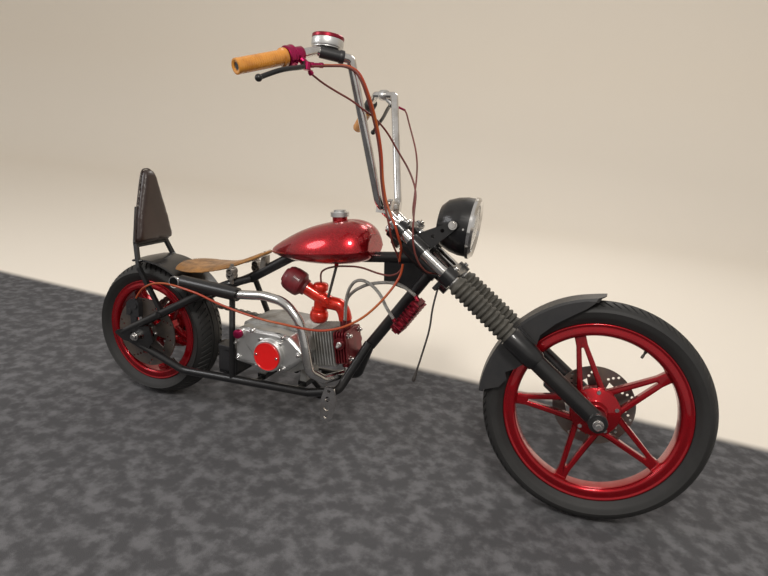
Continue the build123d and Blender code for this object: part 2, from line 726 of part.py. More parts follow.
# columns: x, half width seen from above
SEAT_TOP = [
    (96, 20),
    (102, 50),
    (118, 78),
    (150, 96),
    (200, 98),
    (250, 80),
    (300, 55),
    (350, 37),
    (396, 26),
    (410, 12),
]
seat_outline = SEAT_TOP + [(x, -y) for x, y in reversed(SEAT_TOP)]
seat = extrude(make_face(Polyline(*seat_outline, close=True)), amount=800) & plate(SEAT_SIDE, -150, 150)
save("saddle", park(seat))
seat_room = seat + Pos(0, 0, -SOFT_GAP) * seat
spring = rod((318, 66, 440), (318, 66, 470), 6) - stay - strut
spring = spring + sleeve((318, 56, 466), (318, 76, 466), 14, 9)
spring = spring + sleeve((318, 52, 478), (318, 80, 478), 11, 7)
spring = spring + rod((318, 66, 484), (318, 66, 500), 5) + rod((318, 60, 487), (318, 72, 487), 7)
spring = spring - rod((345, 89, 300), (318, 62, 424), CROSS_TUBE_R)
HINGE = [(374, 472), (398, 486), (396, 532), (384, 532)]
hinge = plate(HINGE, -12, 12) - bent(backbone_points, [70.0], BACKBONE_R)
save("saddle_mounts", park(mirrored(spring) + hinge - seat_room))

# Rear mudguard, sissy bar and its pad
MUDGUARD_GAP = 9.4
guard_r = REAR_TYRE_R + MUDGUARD_GAP
guard = turned_about_y([
    (guard_r, -70),
    (guard_r + 4, -74),
    (guard_r + 7, -70),
    (guard_r + 9, 0),
    (guard_r + 7, 70),
    (guard_r + 4, 74),
    (guard_r, 70),
    (guard_r + 5, 0),
])
wedge = plate(
    [(0, 0), (400 * math.cos(math.radians(36)), 400 * math.sin(math.radians(36))), (400, 400), (-90, 400)],
    -90,
    90,
)
guard = moved(guard & wedge, REAR_AXLE)
save("rear_mudguard", park(guard))
PAD_BACK = (-36, 0, 506)
PAD_SLOPE = 0.113
PAD_THICK = 26.0
pad_plane = Plane(origin=PAD_BACK, x_dir=(0, 1, 0), z_dir=(1, 0, PAD_SLOPE))
# columns: half width, height above the pad's foot
PAD_HALF = [(76, 0), (78, 14), (66, 80), (46, 150), (26, 216), (14, 232)]
pad_outline = PAD_HALF + [(-y, z) for y, z in reversed(PAD_HALF)]
backrest = extrude(pad_plane * make_face(Polyline(*pad_outline, close=True)), amount=PAD_THICK)
backrest = fillet(backrest.faces().sort_by(Axis.X)[-1].edges(), 6)
save("backrest_pad", park(backrest))
BAR_SIDE = 12.0


def square_bar(a, b):
    """A square bar between two points."""
    line = unit(tuple(b[i] - a[i] for i in range(3)))
    length = math.sqrt(sum((b[i] - a[i]) ** 2 for i in range(3)))
    place = Plane(origin=a, x_dir=(0, 1, -line[1] / line[2]), z_dir=line)
    return place * Box(BAR_SIDE, BAR_SIDE, length, align=(Align.CENTER, Align.CENTER, Align.MIN))


def behind_pad(height, y):
    """A point half a bar's width behind the pad."""
    d = BAR_SIDE / 2 + SOFT_GAP + 0.1
    return (PAD_BACK[0] - PAD_SLOPE * height - d, y, PAD_BACK[2] + height - PAD_SLOPE * d)


sissy_foot = rear(-10, 87, 206)
sissy_knee = behind_pad(4, 64)
upright = square_bar(sissy_foot, sissy_knee) + Pos(*sissy_knee) * Sphere(0.72 * BAR_SIDE)
upright = upright + square_bar(sissy_knee, behind_pad(112, 42))
stay_bolt = (84, 108, 318)
upright = upright + square_bar((stay_bolt[0], 99, stay_bolt[2]), along(sissy_foot, (0, 0, 1), 10))
upright = upright + rod((stay_bolt[0], 92, stay_bolt[2] - 10), (stay_bolt[0], 112, stay_bolt[2] - 10), 9)
upright = upright + rod((-17, 66, guard_r + REAR_TYRE_R + 2), (-17, 84, guard_r + REAR_TYRE_R + 2), 5)
sissy = mirrored(upright) + rod((-40, -66, 499), (-40, 66, 499), BAR_SIDE / 2)
sissy = sissy + rod(behind_pad(108, -43), behind_pad(108, 43), BAR_SIDE / 2)
save("sissy_bar", park(sissy - backrest - guard - mirrored(stay)))

# Battery box and rear caliper
battery = block((262, 330), (-48, 48), (150, 226))
lid = block((259, 333), (-50, 50), (218, 232))
save(
    "battery_box",
    park(fillet(battery.edges().filter_by(Axis.Z), 8) + fillet(lid.edges().filter_by(Axis.Z), 9)),
)
CALIPER = [(-64, 52), (-64, 92), (-48, 108), (-20, 108), (-14, 96), (-14, 52)]
caliper = plate_at(REAR_AXLE, CALIPER, -88, -66.1)
caliper = caliper + plate_at(
    REAR_AXLE,
    [(-64, 78), (-64, 96), (-48, 108), (-20, 108), (-14, 96), (-14, 78)],
    -66.1,
    -58,
)
caliper = caliper + plate_at(REAR_AXLE, [(-46, -6), (-26, -6), (-24, 60), (-50, 60)], -86, -80)
for x, z in ((-50, 66), (-28, 88)):
    caliper = caliper + rod(rear(x, -80, z), rear(x, -92, z), 9)
disc_room = sleeve(rear(0, REAR_DISC_Y - 1.5, 0), rear(0, REAR_DISC_Y + 5.5, 0), REAR_DISC_R + 6, 40)
caliper = caliper - disc_room
caliper = caliper + rod(rear(-46, -96, -6), rear(-46, -80, -6), 6)
caliper = caliper - mirror(stay + rail + axle_plate, about=Plane.XZ)

# Drive chain round its two sprockets: rollers as one loop, outer plates link by link
FRONT_SPROCKET = engine(-102, CHAIN_Y, 2)
chain_dx = FRONT_SPROCKET[0]
chain_dz = FRONT_SPROCKET[2] - REAR_TYRE_R
span = math.hypot(chain_dx, chain_dz)
slope = math.atan2(chain_dz, chain_dx)
spread = math.acos((BIG_PITCH_R - SMALL_PITCH_R) / span)


def loop_points(swell):
    """Where the loop leaves and joins its two sprockets, swollen outward."""
    points = {}
    for label, sign in (("top", 1), ("low", -1)):
        a = slope + sign * spread
        big = (BIG_PITCH_R + swell) * math.cos(a), REAR_TYRE_R + (BIG_PITCH_R + swell) * math.sin(a)
        small_r = SMALL_PITCH_R + swell
        small = chain_dx + small_r * math.cos(a), FRONT_SPROCKET[2] + small_r * math.sin(a)
        points[label] = (big, small)
    return points


def belt(swell, y_low, y_high):
    """The chain's loop as one solid outline, swollen outward."""
    points = loop_points(swell)
    big_r = BIG_PITCH_R + swell
    small_r = SMALL_PITCH_R + swell
    back = (-big_r * math.cos(slope), REAR_TYRE_R - big_r * math.sin(slope))
    front = (chain_dx + small_r * math.cos(slope), FRONT_SPROCKET[2] + small_r * math.sin(slope))
    edges = [
        Line(points["top"][0], points["top"][1]),
        ThreePointArc(points["top"][1], front, points["low"][1]),
        Line(points["low"][1], points["low"][0]),
        ThreePointArc(points["low"][0], back, points["top"][0]),
    ]
    face = Plane(origin=(0, y_high, 0), x_dir=ACROSS, z_dir=(0, -1, 0))
    return extrude(face * make_face(edges), amount=y_high - y_low)


straight = math.sqrt(span ** 2 - (BIG_PITCH_R - SMALL_PITCH_R) ** 2)
small_arc = SMALL_PITCH_R * 2 * spread
big_arc = BIG_PITCH_R * 2 * (math.pi - spread)
loop_length = 2 * straight + small_arc + big_arc


def pitch_point(s):
    """The point s along the chain, from the rear sprocket's top forward."""
    s = s % loop_length
    points = loop_points(0)
    if s < straight:
        a, b = points["top"]
        share = s / straight
        return (a[0] + (b[0] - a[0]) * share, a[1] + (b[1] - a[1]) * share)
    s = s - straight
    if s < small_arc:
        a = slope + spread - s / SMALL_PITCH_R
        return (chain_dx + SMALL_PITCH_R * math.cos(a), FRONT_SPROCKET[2] + SMALL_PITCH_R * math.sin(a))
    s = s - small_arc
    if s < straight:
        b, a = points["low"]
        share = s / straight
        return (a[0] + (b[0] - a[0]) * share, a[1] + (b[1] - a[1]) * share)
    a = slope - spread - (s - straight) / BIG_PITCH_R
    return (BIG_PITCH_R * math.cos(a), REAR_TYRE_R + BIG_PITCH_R * math.sin(a))


LINK_HALF_HIGH = 5.6
LINK_INNER_Y = 4.0
LINK_OUTER_Y = 5.6
chain = belt(ROLLER_R, CHAIN_Y - LINK_INNER_Y, CHAIN_Y + LINK_INNER_Y)
chain = chain - belt(-ROLLER_R, CHAIN_Y - 20, CHAIN_Y + 20)
step = loop_length / CHAIN_LINKS
link_plates = []
for i in range(CHAIN_LINKS // 2):
    a = pitch_point(2 * i * step)
    b = pitch_point((2 * i + 1) * step)
    ux, uz = (b[0] - a[0]) / step, (b[1] - a[1]) / step
    # columns: along the link from its first pin, across it
    outline = [
        (-4, -3),
        (-4, 3),
        (0, LINK_HALF_HIGH),
        (step, LINK_HALF_HIGH),
        (step + 4, 3),
        (step + 4, -3),
        (step, -LINK_HALF_HIGH),
        (0, -LINK_HALF_HIGH),
    ]
    place = [(a[0] + ux * p - uz * q, a[1] + uz * p + ux * q) for p, q in outline]
    link_plates.append(plate(place, CHAIN_Y + LINK_INNER_Y - 0.2, CHAIN_Y + LINK_OUTER_Y))
    link_plates.append(plate(place, CHAIN_Y - LINK_OUTER_Y, CHAIN_Y - LINK_INNER_Y + 0.2))
chain = chain.fuse(*link_plates)
save("drive_chain", park(chain))
# The front sprocket on its shaft, beside the flywheel's cover


def sprocket_rod(y_low, y_high, r):
    return rod((chain_dx, y_low, FRONT_SPROCKET[2]), (chain_dx, y_high, FRONT_SPROCKET[2]), r)


flywheel = flywheel + sprocket_rod(sprocket_low, sprocket_high, SMALL_PITCH_R - ROLLER_R - SOFT_GAP)
flywheel = flywheel + sprocket_rod(65, CHAIN_Y + 8, 12)
save("flywheel_cover", park(flywheel))

# Hanging peg bracket on the right frame leg
# columns: x, z, radius of a hole
PEG_HOLES = [(675, 197, 5), (673, 172, 8), (671, 145, 9), (670, 118, 6)]
PEG_OUTLINE = [
    (700, 172),
    (690, 208),
    (662, 208),
    (652, 170),
    (652, 112),
    (660, 104),
    (682, 104),
    (690, 112),
]
peg = plate(PEG_OUTLINE, -101, -96)
for x, z, r in PEG_HOLES:
    peg = peg - rod((x, -105, z), (x, -90, z), r)
peg = peg + (block((664, 684), (-96, -74), (179, 190)) - mirror(leg, about=Plane.XZ))
save("peg_bracket", park(peg))

# Oil cooler in front of the down tube, on two brackets from it
TUBE_LINE = unit(tuple(split[i] - down_top[i] for i in range(3)))
COOLER_NORMAL = (-TUBE_LINE[2], 0, TUBE_LINE[0])
COOLER_Y = -62.0
COOLER_ALONG = 108.0
COOLER_FORWARD = 36.0
cooler_foot = along(down_top, TUBE_LINE, COOLER_ALONG)
cooler_at = along((cooler_foot[0], COOLER_Y, cooler_foot[2]), COOLER_NORMAL, COOLER_FORWARD)


def cooler_point(s, y, n):
    """A point on the cooler: s down its length, y to the left, n out of its face."""
    p = along(along(cooler_at, TUBE_LINE, s), COOLER_NORMAL, n)
    return (p[0], COOLER_Y + y, p[2])


def cooler_box(s, y, n, size_s, size_y, size_n):
    return Plane(
        origin=cooler_point(s, y, n),
        z_dir=COOLER_NORMAL,
        x_dir=TUBE_LINE,
    ) * Box(size_s, size_y, size_n)


cooler = cooler_box(0, 0, 0, 104, 56, 16)
for i in range(9):
    cooler = cooler + cooler_box(-44 + i * 11, 0, 0, 3.5, 66, 30)
for s in (-22, 22):
    cooler = cooler + cooler_box(s, 42, -2, 20, 52, 5)
    cooler = cooler + cooler_box(s, 62, -14, 20, 8, 28)
# columns: s and n where an oil port leaves the core, s and n of its tip
COOLER_PORTS = [(44, -4, 36, -26), (-50, -4, -56, -20)]
cooler_ports = []
for s, n, tip_s, tip_n in COOLER_PORTS:
    tip = cooler_point(tip_s, 0, tip_n)
    cooler = cooler + rod(cooler_point(s, 0, n), tip, 6)
    cooler_ports.append(tip)
save("oil_cooler", park(cooler - down_tube))

# Yokes, stem and fork legs
YOKE_DEEP = 40.0
YOKE_BOSS_R = 26.0


def yoke(t_low, t_high):
    plane = Plane(origin=fork(t_low), x_dir=(0, 1, 0), z_dir=STEM_UP)
    body = extrude(plane * Rectangle(2 * LEG_Y, YOKE_DEEP), amount=t_high - t_low)
    for y in (-LEG_Y, LEG_Y):
        body = body + rod(fork(t_low, y), fork(t_high, y), YOKE_BOSS_R)
    body = body + stem(t_low, t_high, YOKE_BOSS_R + 1)
    for y in (-LEG_Y, LEG_Y):
        body = body - rod(fork(t_low - 1, y), fork(t_high + 1, y), LEG_R + SEAT_GAP)
    return body


STEM_TOP = UPPER_YOKE_HIGH + 24
stem_bore = stem(UPPER_YOKE_LOW - 1, STEM_TOP - 5.9, STEM_R + SEAT_GAP)
upper_yoke = yoke(UPPER_YOKE_LOW, UPPER_YOKE_HIGH) + stem(UPPER_YOKE_HIGH, STEM_TOP, 20) - stem_bore
lower_yoke = yoke(LOWER_YOKE_LOW, LOWER_YOKE_HIGH) + stem(LOWER_YOKE_LOW + 5, STEM_TOP - 6, STEM_R)
# The lug on the back of the lower yoke that carries the instrument cable
LUG_T = (LOWER_YOKE_HIGH - 14, LOWER_YOKE_HIGH - 2)
lug_plane = Plane(origin=fork(LUG_T[0], -60, -37), x_dir=(0, 1, 0), z_dir=STEM_UP)
lower_yoke = lower_yoke + extrude(lug_plane * Rectangle(12, 38), amount=LUG_T[1] - LUG_T[0])
save("fork_yokes", steer_and_park(upper_yoke + lower_yoke))
TUBE_TOP = UPPER_YOKE_HIGH + 8
GAITER_HIGH = LOWER_YOKE_LOW - 4
GAITER_LOW = GAITER_HIGH - GAITER_LENGTH
LEG_TOP = GAITER_LOW - SOFT_GAP
tubes = rod(fork(LEG_TOP - 6, LEG_Y), fork(TUBE_TOP, LEG_Y), LEG_R)
tubes = tubes + rod(fork(TUBE_TOP, LEG_Y), fork(TUBE_TOP + 4, LEG_Y), 12)
save("fork_tubes", steer_and_park(mirrored(tubes)))
gaiter_bore = LEG_R + SOFT_GAP
profile = [(gaiter_bore, GAITER_LOW), (24, GAITER_LOW)]
rib = (GAITER_LENGTH - 16) / GAITER_RIBS
for i in range(GAITER_RIBS):
    a = GAITER_LOW + 8 + i * rib
    profile.extend([(GAITER_R - 6, a), (GAITER_R, a + 5), (GAITER_R, a + 9)])
profile.extend([(GAITER_R - 6, GAITER_HIGH - 6), (GAITER_R - 6, GAITER_HIGH), (gaiter_bore, GAITER_HIGH)])
gaiter = turned_about(fork(0, LEG_Y), STEM_UP, profile)
save("fork_gaiters", steer_and_park(mirrored(gaiter)))
leg_room = rod(fork(LEG_TOP - 14, LEG_Y), fork(LEG_TOP + 1, LEG_Y), LEG_R + SEAT_GAP)
lower_leg = rod(fork(-6, LEG_Y), fork(LEG_TOP, LEG_Y), LOWER_LEG_R) - leg_room
axle_lug = rod((AXLE[0], 65, AXLE[2]), (AXLE[0], 112, AXLE[2]), 23)
lower_leg = lower_leg + axle_lug
lower_leg = lower_leg - rod((AXLE[0], 60, AXLE[2]), (AXLE[0], 120, AXLE[2]), WHEEL_AXLE_R + SEAT_GAP)
save("fork_lowers", steer_and_park(mirrored(lower_leg)))
front_axle = rod((AXLE[0], -128, AXLE[2]), (AXLE[0], 128, AXLE[2]), WHEEL_AXLE_R)
front_nut = rod((AXLE[0], 112.1, AXLE[2]), (AXLE[0], 123, AXLE[2]), 13)
front_spacer = sleeve(
    (AXLE[0], FRONT_HUB_HALF + 0.3, AXLE[2]),
    (AXLE[0], 64.9, AXLE[2]),
    14,
    WHEEL_AXLE_R - 1,
)
save("front_axle", steer_and_park(front_axle + mirrored(front_nut + front_spacer)))

# Front mudguard on two stays from the fork legs
mud_in = FRONT_TYRE_R + 8
mud_out = mud_in + 4
MUD_SECTION = [
    (mud_in - 10, -50),
    (mud_in - 8, -54),
    (mud_in + 2, -52),
    (mud_out + 3, 0),
    (mud_in + 2, 52),
    (mud_in - 8, 54),
    (mud_in - 10, 50),
    (mud_in, 42),
    (mud_out - 1, 0),
    (mud_in, -42),
]


def polar(deg, r):
    return (r * math.cos(math.radians(deg)), r * math.sin(math.radians(deg)))


TIP_DEG = 102
TIP_LENGTH = 46.0
mud_sector = plate([(0, 0)] + [polar(a, 420) for a in (TIP_DEG, 120, 150, 179)], -90, 90)
mud = moved(turned_about_y(MUD_SECTION) & mud_sector, AXLE)
# The sides' lower edge: columns of degrees round from ahead and distance from the axle
SKIRT_EDGE = [
    (99, mud_in - 6),
    (104, mud_in - 22),
    (112, mud_in - 34),
    (122, mud_in - 42),
    (133, mud_in - 50),
    (141, mud_in - 72),
    (152, mud_in - 78),
    (159, mud_in - 66),
    (164, mud_in - 48),
    (168, mud_in - 58),
    (174, mud_in - 46),
    (178, mud_in - 8),
]
SKIRT_IN = 50.0
SKIRT_OUT = 54.6
skirt_outline = [polar(a, r) for a, r in SKIRT_EDGE] + [polar(a, mud_in - 4) for a in range(176, 98, -6)]
skirt = plate_at(AXLE, skirt_outline, SKIRT_IN, SKIRT_OUT)
# The tip runs on straight from the tyre's curve, and its plan is rounded like a spoon
tip_rim = [(polar(TIP_DEG, r)[0], y, polar(TIP_DEG, r)[1]) for r, y in MUD_SECTION]
tip_way = (math.sin(math.radians(TIP_DEG)), 0, -math.cos(math.radians(TIP_DEG)))
tip = moved(extrude(make_face(Polyline(*tip_rim, close=True)), amount=TIP_LENGTH, dir=tip_way), AXLE)
TIP_SIDE = [(-62, -60), (-44, -52), (-30, -38), (-23, -20)]
TIP_PLAN = [(-400, -60), *TIP_SIDE, (-21, 0), *[(x, -y) for x, y in reversed(TIP_SIDE)], (-400, 60)]
tip_plan = moved(extrude(make_face(Polyline(*TIP_PLAN, close=True)), amount=700), (AXLE[0], 0, 0))
mud = (mud + tip + mirrored(skirt)) & tip_plan
mud_stay = plate_at(
    AXLE,
    [polar(146, 226), polar(138, 226), polar(138, mud_in + 1), polar(146, mud_in + 1)],
    54.5,
    72,
)
leg_solid = rod(fork(-6, LEG_Y), fork(LEG_TOP, LEG_Y), LOWER_LEG_R)
gaiter_room = rod(fork(GAITER_LOW - 10, LEG_Y), fork(GAITER_HIGH + 12, LEG_Y), GAITER_R + 0.5)
save("front_mudguard", steer_and_park(mud + mirrored(mud_stay) - mirrored(leg_solid + gaiter_room)))

# Front caliper on the left leg
f_cal = Plane(origin=fork(96, 62, -34), x_dir=(0, 1, 0), z_dir=STEM_UP) * Box(40, 44, 62)
f_cal = fillet(f_cal.edges().filter_by(Axis.Y), 6)
front_disc_room = moved(turned_about_y([(10, 42.5), (109, 42.5), (109, 53.5), (10, 53.5)]), AXLE)
save("front_caliper", steer_and_park(f_cal - front_disc_room - leg_solid - axle_lug))

# Headlight and its bracket
LAMP_FACE = top(185, 0, 20)
LAMP_LINE = unit((-148, 0, 8))
LAMP_R = 77.0
bucket = turned_about(
    LAMP_FACE,
    LAMP_LINE,
    [(0, 8), (LAMP_R, 8), (LAMP_R, 30), (72, 54), (62, 78), (46, 93), (0, 98)],
)
lamp_rim = turned_about(LAMP_FACE, LAMP_LINE, [(66, 0), (74, -6), (81, 0), (81, 7.9), (66, 7.9)])
lens = turned_about(LAMP_FACE, LAMP_LINE, [(0, -6), (40, -3), (65.9, 1), (65.9, 7.9), (0, 7.9)])
save("headlight_rim", steer_and_park(lamp_rim))
save("headlight_lens", steer_and_park(lens))
LAMP_BOLT = along(LAMP_FACE, LAMP_LINE, 44)
CLAMP_T = (NECK_MID_T - 4, NECK_MID_T + 42)
clamp_mid = fork((CLAMP_T[0] + CLAMP_T[1]) / 2)
high = fork(CLAMP_T[1] + 2)
low = fork(CLAMP_T[0] - 2)
ARM = [
    (high[0] + 6, high[2] + 14),
    (LAMP_BOLT[0] + 6, LAMP_BOLT[2] + 14),
    (LAMP_BOLT[0] + 14, LAMP_BOLT[2]),
    (LAMP_BOLT[0] + 4, LAMP_BOLT[2] - 13),
    (low[0] + 8, low[2] + 8),
]
arm = plate(ARM, LEG_Y - 8, LEG_Y - 3) - rod(fork(560, LEG_Y), fork(640, LEG_Y), LEG_R + SEAT_GAP)
for share in (0.35, 0.62):
    at = [clamp_mid[k] + (LAMP_BOLT[k] - clamp_mid[k]) * share for k in range(3)]
    arm = arm - rod((at[0] + 6, 60, at[2] + 8), (at[0] + 6, 100, at[2] + 8), 5)
clamp = sleeve(fork(CLAMP_T[0], LEG_Y), fork(CLAMP_T[1], LEG_Y), 21, LEG_R + SEAT_GAP) + arm
bolt = rod((LAMP_BOLT[0], 60, LAMP_BOLT[2]), (LAMP_BOLT[0], 92, LAMP_BOLT[2]), 7)
save("headlight_bucket", steer_and_park(bucket + mirrored(clamp + bolt)))

# Handlebar on its risers: the left half from the clamp to the grip's end
BAR_HALF = [
    top(-51, 86, 46),
    top(-56, 104, 64),
    top(-135, 203, 374),
    top(-206, 243, 378),
    top(-308, 410, 296),
]
BAR_BENDS = [40.0, 34.0, 12.0, 12.0]
bar_points = [(x, -y, z) for x, y, z in reversed(BAR_HALF)] + BAR_HALF
bar = bent(bar_points, BAR_BENDS[1:][::-1] + BAR_BENDS[:1] * 2 + BAR_BENDS[1:], BAR_R)
save("handlebar", steer_and_park(bar))
RISER_Y = 43.0
bar_clear = rod(top(-51, -90, 46), top(-51, 90, 46), BAR_R + SEAT_GAP)
riser = moved(block((-20, 20), (30, 56), (-17, 17)), top(-51, 0, 46))
riser = riser + rod(fork(UPPER_YOKE_HIGH + SEAT_GAP, RISER_Y), fork(UPPER_YOKE_HIGH + 62, RISER_Y), 12)
save("bar_risers", steer_and_park(mirrored(riser - bar_clear)))


def along_bar(side, s):
    """A point on the outer run of the bar, s from its end."""
    end = BAR_HALF[4]
    line = unit(tuple(BAR_HALF[3][i] - end[i] for i in range(3)))
    x, y, z = along(end, line, s)
    return (x, side * y, z)


grips = None
for side in (-1, 1):
    grip = rod(along_bar(side, -3), along_bar(side, 120), GRIP_R)
    grip = grip + rod(along_bar(side, 114), along_bar(side, 124), 21)
    grip = grip - rod(along_bar(side, -1), along_bar(side, 130), BAR_R + SOFT_GAP)
    grip = grip - rod(along_bar(side, -4), along_bar(side, 8), 9)
    grips = grip if grips is None else grips + grip
save("hand_grips", steer_and_park(grips))


def lever(perch, knuckle, tip):
    blade = rod(perch, knuckle, 6) + rod(knuckle, tip, 4.5)
    return blade + Pos(*tip) * Sphere(8) + Pos(*knuckle) * Sphere(8)


right_bar = rod(along_bar(-1, 100), along_bar(-1, 200), BAR_R + SEAT_GAP)
right = sleeve(along_bar(-1, 125), along_bar(-1, 146), 24, BAR_R + 1)
right = right + sleeve(along_bar(-1, 146), along_bar(-1, 170), 17, BAR_R + 1)
a = along_bar(-1, 158)
b = along_bar(-1, 128)
c = along_bar(-1, 10)
right_perch = (a[0] + 22, a[1] + 2, a[2] - 20)
right = right + rod(a, right_perch, 9)
right = right + lever(right_perch, (b[0] + 40, b[1], b[2] - 34), (c[0] + 44, c[1], c[2] - 30))
inner_a = top(-206, 243, 378)
inner_b = top(-135, 203, 374)
inner_line = unit(tuple(inner_b[i] - inner_a[i] for i in range(3)))
left_bar = rod(along_bar(1, 100), along_bar(1, 200), BAR_R + SEAT_GAP)
left_bar = left_bar + rod(inner_a, inner_b, BAR_R + SEAT_GAP)
left = sleeve(along(inner_a, inner_line, 26), along(inner_a, inner_line, 48), 16, BAR_R + 1)
left_root = along(inner_a, inner_line, 37)
left_perch = (left_root[0] + 28, left_root[1], left_root[2] - 24)
adjuster = top(-100, 212, 336)
c = along_bar(1, 40)
left = left + rod(left_root, left_perch, 9) + rod(left_perch, adjuster, 4.5)
left = left + lever(
    left_perch,
    (left_perch[0] - 22, left_perch[1] + 36, left_perch[2] - 8),
    (c[0] + 46, c[1], c[2] - 30),
)
switches = sleeve(along_bar(1, 126), along_bar(1, 166), 19, BAR_R + 1)
save("bar_controls", steer_and_park((right - right_bar) + (left + switches - left_bar)))
GAUGE = top(-196, -206, 392)
GAUGE_R = 38.0
gauge = rod(GAUGE, along(GAUGE, (0, 0, 1), 22), GAUGE_R)
gauge = gauge + rod(along(GAUGE, (0, 0, 1), 22), along(GAUGE, (0, 0, 1), 31), GAUGE_R - 3)
gauge = gauge + rod(top(-162, -226, 381), top(-162, -218, 397), 8)
save("bar_gauge", steer_and_park(gauge - bar))

# Cables on the fork side, as (t up the fork line, y, n forward of it)
BRAKE_CABLE_R = 3.2
THROTTLE_CABLE_R = 2.6
LEVER_CABLE_R = 2.4
UPPER_BRAKE = [
    (1046, -274, 158),
    (1022.8, -243, 184.7),
    (997.6, -224, 212.0),
    (973.0, -212, 220.0),
    (948.1, -205, 210.7),
    (912.2, -190, 189.5),
    (884.4, -172, 167.6),
    (853.7, -154, 141.5),
    (820.4, -140, 110.0),
    (780.6, -128, 65.9),
    (743.6, -121, 34.4),
    (714.1, -122, 18.6),
    (678.7, -122, 3.3),
    (656, -112, -14),
    (640, -90, -28),
]
UPPER_THROTTLE = [
    (1046, -296, 146),
    (1022, -256, 180),
    (996, -234, 208),
    (972, -220, 216),
    (946, -212, 206),
    (911, -197, 184),
    (883, -179, 162),
    (852, -161, 136),
    (819, -147, 105),
    (779, -135, 61),
    (742, -128, 29),
    (714, -127, 10),
    (690.0, -122, -8.0),
    (670.0, -112, -27.0),
    (655.0, -92, -42.0),
    (637.0, -68, -55.0),
]
LEVER_CABLE = [
    (1031.0, -268, 146.0),
    (1007.9, -240, 146.3),
    (979, -219, 152),
    (945, -200, 160),
    (915, -185, 162),
    (885, -160, 165),
    (850, -128, 158),
    (812, -102, 142),
    (754.8, -90, 124.6),
    (704.4, -97, 100.2),
    (666.0, -118, 56.3),
    (638.5, -123, 24.4),
    (607.9, -120, -6.0),
    (572.0, -108, -27.0),
    (545.0, -84, -32.0),
    (528.0, -64, -20.0),
    (LOWER_YOKE_HIGH + SEAT_GAP, -56, -12.0),
]
LEFT_CABLE = [
    (944.8, 205, 213.0),
    (909.3, 190, 194.0),
    (868.8, 165, 174.9),
    (833.1, 140, 157.3),
    (797.2, 118, 132.5),
    (765.2, 98, 101.3),
    (737.1, 84, 68.5),
    (712.0, 76, 36.0),
    (UPPER_YOKE_HIGH + SEAT_GAP, 74, 12.0),
]
SPEEDO_CABLE = [
    (LUG_T[0] - SEAT_GAP, -60, -46.0),
    (479.1, -60, -88.3),
    (442.8, -60, -136.1),
    (418.1, -61, -184.8),
    (392.2, -60, -238.7),
    (377.1, -58, -272.1),
]

# Cables and hoses on the frame, as drawn points
REAR_BRAKE = [
    (842, -61, 586),
    (840, -60, 560),
    (828, -72, 526),
    (802, -98, 480),
    (764, -118, 435),
    (714, -138, 403),
    (663, -158, 390),
    (607, -167, 390),
    (559, -168, 391),
    (491, -163, 388),
    (394, -155, 394),
    (319, -150, 404),
    (267, -147, 416),
    (191, -143, 423),
    (137, -131, 421),
    (89, -119, 412),
    (50, -108, 398),
    (15, -100, 378),
    (-8, -92, 355),
    (-24, -86, 336),
]
THROTTLE = [
    (838, -46, 576),
    (828, -49, 556),
    (806, -53, 546),
    (772, -55, 548),
    (715, -48, 556),
    (650, -51, 547),
    (616, -48, 534),
    (597, -39, 520),
    (588, -25, 504),
]
THROTTLE.append(engine(92, -14, 204 + SEAT_GAP))
OIL_LOWER = [
    (687, -41, 489),
    (703, -44, 512),
    (725, -47, 520),
    (747, -50, 516),
    (770, -53, 504),
    (790, -56, 486),
    (806, -60, 462),
]
OIL_UPPER = [
    (672, -24, 425),
    (677, -27, 456),
    (700, -31, 483),
    (735, -38, 506),
    (765, -44, 518),
    (800, -50, 527),
    (832, -55, 530),
    (856, -60, 524),
]


def fork_end(points):
    """Where the fork's half of a cable ends: up the stem's line, so it clears the frame's half at any turn."""
    return steered_back(along(points[0], STEM_UP, CABLE_BREAK))


def fork_points(rows):
    return [fork(*row) for row in rows]


CABLE_BREAK = 12.0
brake_top = fork_points(UPPER_BRAKE) + [fork_end(REAR_BRAKE)]
throttle_top = fork_points(UPPER_THROTTLE) + [fork_end(THROTTLE)]
bar_brake = cord("brake cable on the fork", brake_top, BRAKE_CABLE_R) - right
save("bar_brake_cable", steer_and_park(bar_brake))
bar_throttle = cord("throttle cable on the fork", throttle_top, THROTTLE_CABLE_R) - right
save("bar_throttle_cable", steer_and_park(bar_throttle))
lever_cable = cord("lever cable", fork_points(LEVER_CABLE), LEVER_CABLE_R) - right - lower_yoke
save("lever_cable", steer_and_park(lever_cable))
clutch_cable = cord("clutch cable", [adjuster] + fork_points(LEFT_CABLE), LEVER_CABLE_R) - left - upper_yoke
save("clutch_cable", steer_and_park(clutch_cable))
speedo_points = fork_points(SPEEDO_CABLE)
speedo = cord("instrument cable", speedo_points, THROTTLE_CABLE_R)
speedo = speedo + rod(speedo_points[-2], speedo_points[-1], 4)
save("instrument_cable", steer_and_park(speedo - lower_yoke))
caliper = caliper + rod(REAR_BRAKE[-1], rear(-38, -80, 96), 5)
save("rear_caliper", park(caliper))
save("rear_brake_cable", park(cord("rear brake cable", REAR_BRAKE, BRAKE_CABLE_R) - caliper))
save("throttle_cable", park(cord("throttle cable", THROTTLE, THROTTLE_CABLE_R) - carb))
save("fuel_hose", park(rod(PETCOCK_LOW, FUEL_SPIGOT, 4) - tank - carb))
OIL_LINE_R = 4.5
union_ends = [(x, y, z) for y, x, z in UNIONS]
oil_lower = cord(
    "lower oil line",
    [along(union_ends[0], (0, 0, 1), SEAT_GAP), (678, -38, 455)] + OIL_LOWER + [cooler_ports[0]],
    OIL_LINE_R,
)
oil_upper = cord(
    "upper oil line",
    [along(union_ends[1], (0, 0, 1), SEAT_GAP)] + OIL_UPPER + [cooler_ports[1]],
    OIL_LINE_R,
)
save("oil_line_lower", park(oil_lower - cooler - head))
save("oil_line_upper", park(oil_upper - cooler - head))

